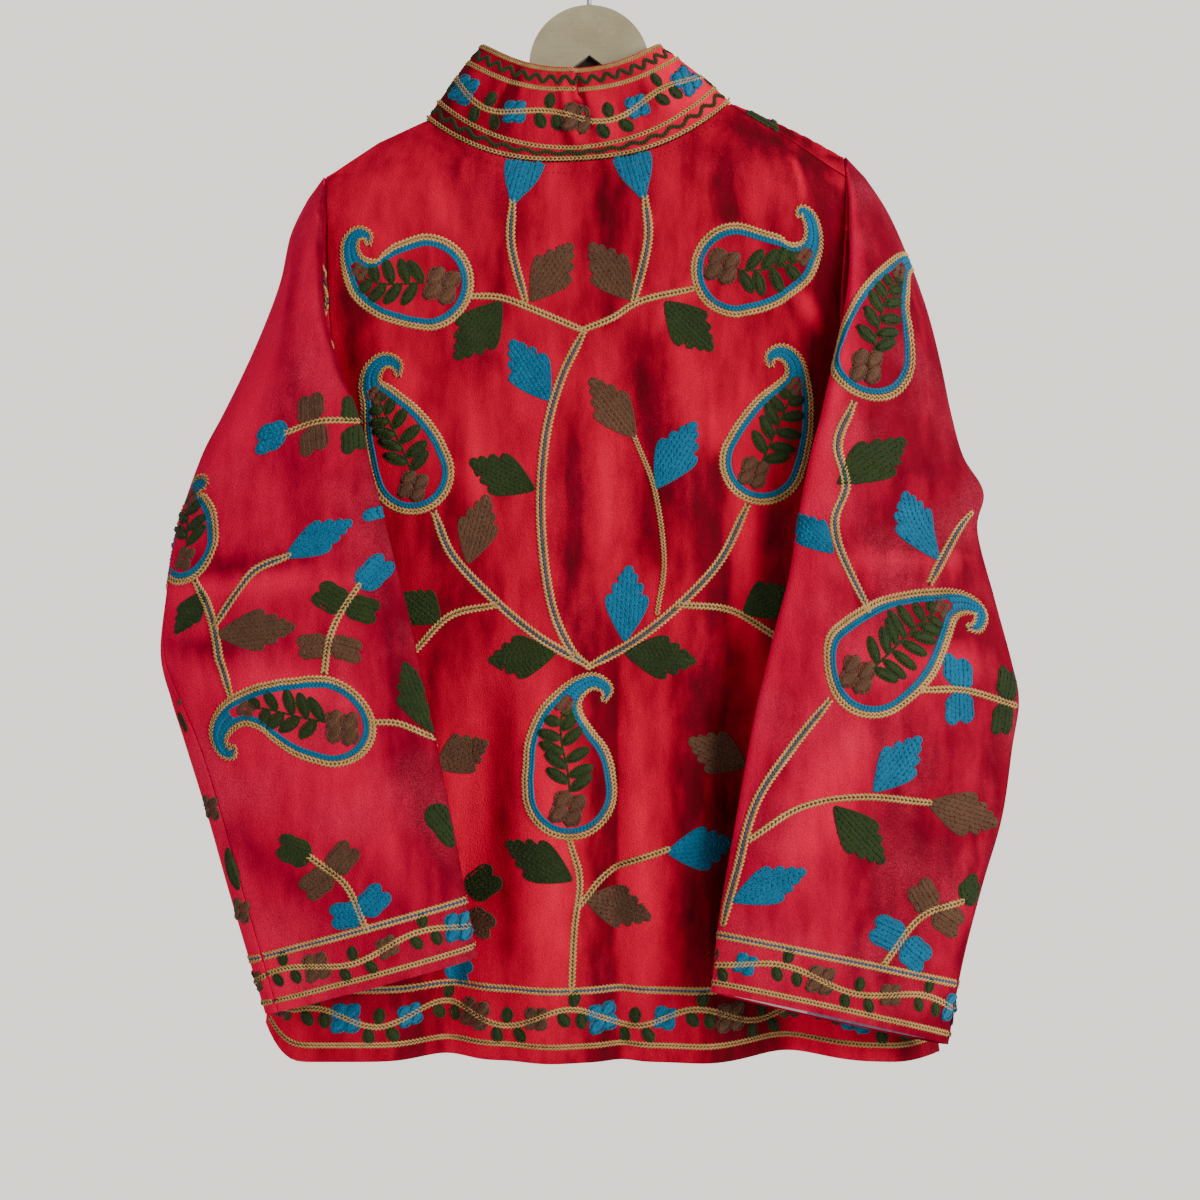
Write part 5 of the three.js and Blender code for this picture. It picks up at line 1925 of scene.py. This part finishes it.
@dataclass
class Body:
    """The back, the two fronts and the collar, with their embroidery."""

    form: JacketForm
    wardrobe: Wardrobe
    hem_lines: tuple[float, float] = (-801.0, -841.5)
    collar_lines: tuple[float, ...] = (67.8, 53.0, 2.2)

    def down_shares(self, count: int) -> Array:
        """Shares down a panel, closer together near the shoulder."""
        return np.interp(np.linspace(0, 1, count + 1), (0, 0.1, 1), (0, 0.03, 1))

    def hem_border(self, work: StitchWork, left: float, right: float, start: float) -> None:
        """Gathers the border above the hem: two lines and a vine with flowers."""
        u = np.arange(left, right, 4.0)
        lift = self.form.hem_z(u) - self.form.hem
        upper, lower = self.hem_lines
        work.parted_line(columns(u, upper + lift))
        work.braid(columns(u, lower + lift), 4.4)
        middle = columns(u, (upper + lower) / 2 + lift)
        work.vine(middle, 7.0, 94.0, start, (BLUE, BROWN), 12.8)

    def back_keep(self, u: Array, v: Array) -> Array:
        """Places of the back that take stitches."""
        left = self.form.edge_x(Side.LEFT, v) + 3
        right = self.form.edge_x(Side.RIGHT, v) - 3
        top = np.minimum(self.form.neck_z(Face.BACK, u) - 1.5, self.form.shoulder_z(u) - 2.5)
        return (u > left) & (u < right) & (v < top) & (v > self.form.hem_z(u) + 2)

    def back(self) -> Piece:
        """The back panel."""
        across = np.linspace(SIDE_MARGIN, 1 - SIDE_MARGIN, BACK_LATTICE[0])
        a, b = np.meshgrid(across, self.down_shares(BACK_LATTICE[1]))
        middle = self.form.back_point(a, b)
        normals = mitred_normals(self.form.back_point, a, b, 0.012)
        # Painted streaks of light and shade.
        painted_streaks = crease_depth(BACK_PAINTED_STREAKS, middle[..., 0], middle[..., 2])
        piece = cloth_wall("back", middle, normals, middle[..., (0, 2)] * MM, self.form.velvet, painted_streaks)
        self.wardrobe.dress(piece, "body_velvet")
        work = StitchWork("back", body_lattice(self.form, Face.BACK), self.back_keep)
        work.draw(BACK_DESIGN)
        self.hem_border(work, -240, 256, 63)
        u = np.linspace(-118, 98, 90)
        work.topstitch(columns(u, self.form.neck_z(Face.BACK, u) - 8.5))
        declare(piece, "back_panel", "hanger_plate", work.sew(self.wardrobe))
        return piece

    def front_keep(self, side: Side, u: Array, v: Array) -> Array:
        """Places of a front that take stitches."""
        x = -u
        outer = side.value * (self.form.edge_x(side, v) - x) > 3
        inner = side.value * (x - self.form.front_edge(side, v)) > 2.5
        neck = np.where(self.form.in_neck(x), self.form.neck_z(Face.FRONT, x), self.form.shoulder_z(x))
        return outer & inner & (v < neck - 3) & (v > self.form.hem_z(x) + 2)

    def front(self, side: Side) -> Piece:
        """A front panel."""
        across = np.linspace(2 * SIDE_MARGIN, 1, FRONT_LATTICE[0])
        a, b = np.meshgrid(across, self.down_shares(FRONT_LATTICE[1]))
        middle = self.form.front_point(side, a, b)
        normals = mitred_normals(lambda s, t: self.form.front_point(side, s, t), a, b, 0.012)
        normals = normals * -side.value
        name = f"front_{side.word}"
        # Painted streaks of light and shade.
        painted_streaks = crease_depth(FRONT_PAINTED_STREAKS, middle[..., 0], middle[..., 2])
        piece = cloth_wall(name, middle, normals, middle[..., (0, 2)] * MM, self.form.velvet, painted_streaks)
        self.wardrobe.dress(piece, "body_velvet")
        keep = lambda u, v: self.front_keep(side, u, v)
        work = StitchWork(name, body_lattice(self.form, Face.FRONT), keep)
        work.draw(FRONT_DESIGN if side is Side.LEFT else mirrored(FRONT_DESIGN, 1.5))
        if side is Side.LEFT:
            self.hem_border(work, -4, 244, 60)
        else:
            self.hem_border(work, -258, -8, 50)
        self.edge_border(work, side)
        sewn = work.sew(self.wardrobe)
        if side is Side.RIGHT:
            over = StitchWork("front_right_over", body_lattice(self.form, Face.BACK), self.over_keep)
            over.draw((Leaf(GREEN, TWIN, 104, -146, 150, -176, 36),))
            sewn += over.sew(self.wardrobe)
        declare(piece, f"front_panel_{side.word}", "hanger_plate", sewn)
        return piece

    def over_keep(self, u: Array, v: Array) -> Array:
        """Places of the strip where the right front lies over the shoulder."""
        below = self.form.shoulder_z(u) - v
        return (u > 115) & (u < 138) & (below > 0.6) & (below < self.form.seam_behind(u) - 0.8)

    def edge_border(self, work: StitchWork, side: Side) -> None:
        """Gathers the border down a front edge."""
        v = np.arange(-236.0, -800.0, -4.0)
        edge = -self.form.front_edge(side, v)
        work.braid(columns(edge - side.value * 7.0, v), 4.4)
        work.parted_line(columns(edge - side.value * 40.0, v))
        middle = columns(edge - side.value * 23.5, v)
        work.vine(middle, 5.0, 88.0, 36.0, (BROWN, BLUE), 11.0)

    def collar(self) -> Piece:
        """The band collar."""
        half_gap = self.form.front_gap_collar / self.form.neck_half / 2
        turns = np.linspace(-np.pi + half_gap, np.pi - half_gap, 181)
        turn, climb = np.meshgrid(turns, np.linspace(0.015, 1, 24))
        middle = self.form.collar_point(turn, climb)
        normals = mitred_normals(self.form.collar_point, turn, climb, 0.02)
        flat = stack(turn * COLLAR_RUN, climb * COLLAR_HIGH) * MM
        # Painted streaks of light and shade.
        painted_streaks = crease_depth(COLLAR_PAINTED_STREAKS, turn * COLLAR_RUN, climb * COLLAR_HIGH)
        piece = cloth_wall("neck_band", middle, normals, flat, self.form.velvet, painted_streaks)
        self.wardrobe.dress(piece, "body_velvet")
        lattice = collar_lattice(self.form)
        keep = lambda u, v: (v > 1.2) & (v < 69) & (np.abs(u) < self.collar_reach(lattice) - 2.5)
        work = StitchWork("neck_band", lattice, keep)
        u = np.arange(-240, 241, 3.0)
        lower = np.interp(np.abs(u), (0, 50, 105, 240), (9.5, 13, 17, 16))
        rim, upper, seam = self.collar_lines
        for level, width in ((rim, 2.6), (upper, 3.2), (lower, 3.4), (seam, 3.4)):
            work.braid(level_line(u, level), width)
        for top, bottom in ((rim, upper), (lower, seam)):
            room = top - bottom + 0 * u
            work.zigzag(level_line(u, (top + bottom) / 2), (room - 5.6) / 3.3, 13.6)
        work.vine(columns(u, (lower + upper) / 2), 4.6, 92.0, 150, (BLUE, BROWN), 12.6, BLUE)
        declare(piece, "collar", "hanger_plate", work.sew(self.wardrobe))
        return piece

    def collar_reach(self, lattice: Lattice) -> float:
        """Half the length of the collar at its middle."""
        steps = np.linalg.norm(np.diff(lattice.points[22], axis=0), axis=1)
        return float(lattice.u[1:][steps > 0.3].max())


@dataclass
class Sleeve:
    """One sleeve's two pieces and its cuff lining, with their embroidery."""

    cloth: SleeveCloth
    wardrobe: Wardrobe
    design: Design
    cuff_lines: tuple[float, float]
    cuff_start: float
    strip: Design = ()
    seam_turn: float = 0.014
    lining_share: float = 0.07
    lining_wall: float = 1.2

    @property
    def side(self) -> Side:
        """The wearer's side."""
        return self.cloth.form.side

    def flat_places(self, turns: Array, shares: Array) -> Array:
        """Flat places of a grid, in metres."""
        down = np.interp(shares, self.cloth.shares, self.cloth.down)[:, None]
        return stack(turns * SLEEVE_RUN, -down + 0 * turns) * MM

    def keep(self, near: bool, u: Array, v: Array) -> Array:
        """Places of the near or far piece that take stitches."""
        sign = -self.side.value
        down = -v
        seam = np.interp(down, self.cloth.down, self.cloth.seam_u())
        first = np.interp(down, self.cloth.down, self.cloth.flat_u[:, 0]) * sign
        last = np.interp(down, self.cloth.down, self.cloth.flat_u[:, -1]) * sign
        across = u * sign
        inside = (down > 2) & (down < self.cloth.down[-1] - 2)
        if near:
            return inside & (across > seam + 1.3) & (across < last - 2)
        return inside & (across < seam - 1.3) & (across > first + 2)

    def cuff_border(self, work: StitchWork) -> None:
        """Gathers the border round the cuff."""
        u = np.arange(-196.0, 197.0, 4.0)
        upper, lower = self.cuff_lines
        work.parted_line(level_line(u, upper))
        work.braid(level_line(u, lower), 4.4)
        middle = level_line(u, (upper + lower) / 2)
        flowers = (BROWN, BLUE, BLUE if self.side is Side.RIGHT else BROWN)
        work.vine(middle, 4.6, 106.0, self.cuff_start, flowers, 11.5)

    def piece(self, near: bool) -> Piece:
        """The piece of the near or the far side."""
        across, shares = (np.linspace(0, 1, count) for count in SLEEVE_LATTICE)
        seam = self.cloth.form.outer_seam(shares)[:, None]
        gap = self.seam_turn
        if near:
            turns = mix(seam + gap * 0.5, np.pi - gap, across)
        else:
            turns = mix(seam - gap * 0.5, -np.pi + gap, across)
        middle = self.cloth.sample(self.cloth.points, turns, shares)
        normals = unit(self.cloth.sample(self.cloth.normals, turns, shares))
        word = "back" if near else "front"
        name = f"sleeve_{self.side.word}_{word}"
        flat = self.flat_places(turns, shares)
        down = -np.interp(shares, self.cloth.shares, self.cloth.down)[:, None]
        # Painted streaks of light and shade.
        painted_streaks = crease_depth(SLEEVE_PAINTED_STREAKS, turns * SLEEVE_RUN, down + 0 * turns)
        piece = cloth_wall(name, middle, normals, flat, self.cloth.form.body.velvet, painted_streaks)
        self.wardrobe.dress(piece, "sleeve_velvet")
        keep = lambda u, v: self.keep(near, u, v)
        work = StitchWork(name, self.cloth.lattice, keep)
        work.draw(self.design if near else mirrored(self.design, 0, 9.0) + self.strip)
        self.cuff_border(work)
        sewn = work.sew(self.wardrobe)
        declare(piece, f"{name}_piece", "hanger_plate", sewn)
        return piece

    def lining(self) -> Piece:
        """The satin tube inside the cuff."""
        turns = np.linspace(-np.pi + 0.01, np.pi - 0.01, 97)
        shares = np.linspace(1 - self.lining_share, 0.997, 12)
        rows = [self.cloth.form.across(turns, share, (2.8, 6.5)) for share in shares]
        middle = np.stack(rows)
        along = np.gradient(middle, axis=1)
        down = np.gradient(middle, axis=0)
        normals = unit(np.cross(down, along)) * self.side.value
        flat = self.flat_places(turns + 0 * shares[:, None], 1 - shares)
        flat[..., 1] *= -1
        piece = cloth_wall(f"lining_{self.side.word}", middle, normals, flat, self.lining_wall)
        self.wardrobe.dress(piece, "lining_satin")
        declare(piece, f"cuff_lining_{self.side.word}", f"sleeve_{self.side.word}_back")
        return piece


@dataclass
class Hanger:
    """The carried-over board and hook, given their finishes."""

    wardrobe: Wardrobe

    def dress(self, nodes: dict[str, Piece]) -> None:
        """Paints the two nodes of the hanger."""
        for node, name in (("hanger_plate", "hanger_board"), ("hanger_hook", "hook_steel")):
            piece = nodes[node]
            finish = self.wardrobe.made[name]
            if not piece.material_slots:
                piece.data.materials.append(finish)
            for slot in piece.material_slots:
                slot.material = finish
            log.info("%s dressed", node)

    def window_back(self) -> Piece:
        """A dark sheet behind the three-cornered window of the board, standing in for the shade seen through
        it.
        """
        front = np.array([(-2, 2.9, -103), (-37, 2.9, -140), (33, 2.9, -140)])
        corners = np.vstack([front, front + (0, 1.4, 0)])
        faces = np.array([
            (0, 1, 2), (3, 5, 4), (0, 3, 4), (0, 4, 1), (1, 4, 5), (1, 5, 2), (2, 5, 3), (2, 3, 0),
        ])
        piece = mesh_piece("window_back", corners, faces, corners[:, (0, 2)] * MM)
        self.wardrobe.dress(piece, "window_felt")
        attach(piece, "root")
        return piece


@dataclass(frozen=True)
class Studio:
    """Camera, soft lights, pale surroundings and the floor."""

    camera_at: tuple[float, float, float] = (0.006, -1.25, -0.5155)
    lens: float = 50.0
    floor_level: float = -1.3

    def camera(self) -> None:
        """Sets the camera square to the back."""
        data = bpy.data.cameras.new("camera")
        data.lens = self.lens
        data.sensor_width = 36.0
        data.clip_start, data.clip_end = 0.01, 50
        camera = bpy.data.objects.new("camera", data)
        camera.location = self.camera_at
        camera.rotation_euler = (math.pi / 2, 0, 0)
        bpy.context.collection.objects.link(camera)
        bpy.context.scene.camera = camera

    def light(
        self, name: str, at: tuple[float, float, float], size: float, power: float, tint: Colour,
    ) -> None:
        """A square soft light that looks at the middle of the jacket."""
        data = bpy.data.lights.new(name, "AREA")
        data.shape = "SQUARE"
        data.size = size
        data.energy = power
        data.color = tint
        lamp = bpy.data.objects.new(name, data)
        lamp.location = at
        aim = Vector((0, 0, -0.5)) - Vector(at)
        lamp.rotation_euler = aim.to_track_quat("-Z", "Y").to_euler()
        bpy.context.collection.objects.link(lamp)

    def surroundings(self) -> None:
        """Pale world and plain floor."""
        world = bpy.data.worlds.new("studio")
        bpy.context.scene.world = world
        world.use_nodes = True
        nodes = Nodes(world.node_tree)
        sky = world.node_tree.nodes["Background"]
        seen = nodes.add("ShaderNodeLightPath").outputs["Is Camera Ray"]
        nodes.link(nodes.blend(seen, (0.86, 0.88, 0.9), (0.97, 0.94, 0.86)), sky.inputs["Color"])
        nodes.link(nodes.maths("ADD", nodes.maths("MULTIPLY", seen, 0.9), 0.62), sky.inputs["Strength"])
        corners = np.array([[-900, -900, 0], [900, -900, 0], [900, 900, 0], [-900, 900, 0]], float)
        corners[:, 2] = self.floor_level / MM
        floor = mesh_piece("floor", corners, np.array([[0, 1, 2, 3]]))
        material, nodes, shader = start_material("floor_paper")
        shade = nodes.ramp(nodes.noise(nodes.add("ShaderNodeTexCoord").outputs["Object"], 3, 2), 0.2, 0.8)
        nodes.link(nodes.blend(shade, (0.76, 0.76, 0.75), (0.8, 0.8, 0.79)), shader.inputs["Base Color"])
        shader.inputs["Roughness"].default_value = 0.9
        floor.data.materials.append(material)

    def build(self) -> None:
        """Sets up the whole studio."""
        self.camera()
        self.light("key_light", (1.5, -1.4, 0.05), 1.0, 55, (1.0, 0.98, 0.95))
        self.light("fill_light", (-1.6, -1.5, -0.3), 1.6, 6, (0.92, 0.96, 1.0))
        self.light("rear_light", (0.3, 1.9, 0.2), 1.6, 16, (1.0, 0.99, 0.97))
        self.surroundings()
        log.info("studio set")


def main(frame: dict) -> None:
    """Builds and dresses the jacket on its frame."""
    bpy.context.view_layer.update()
    Studio().build()
    wardrobe = Wardrobe()
    wardrobe.fill()
    form = JacketForm()
    body = Body(form, wardrobe)
    body.back()
    body.front(Side.LEFT)
    body.front(Side.RIGHT)
    body.collar()
    left = SleeveForm(
        Side.LEFT, form, LEFT_SECTIONS, LEFT_SLEEVE_CREASES, armhole_step=1.1, cuff_seam_turn=0.53,
    )
    right = SleeveForm(Side.RIGHT, form, RIGHT_SECTIONS, RIGHT_SLEEVE_CREASES)
    for sleeve in (
        Sleeve(SleeveCloth(left), wardrobe, LEFT_SLEEVE_DESIGN, (-575.0, -608.0), 249.7, LEFT_STRIP),
        Sleeve(SleeveCloth(right), wardrobe, RIGHT_SLEEVE_DESIGN, (-606.5, -640.5), 85.0),
    ):
        sleeve.piece(True)
        sleeve.piece(False)
        sleeve.lining()
    hanger = Hanger(wardrobe)
    hanger.dress(frame["nodes"])
    # Dark sheet of painted shadow behind the board's window.
    hanger.window_back()


if __name__ == "__main__":
    logging.basicConfig(level=logging.INFO, format="%(name)s: %(message)s")
    main(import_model())
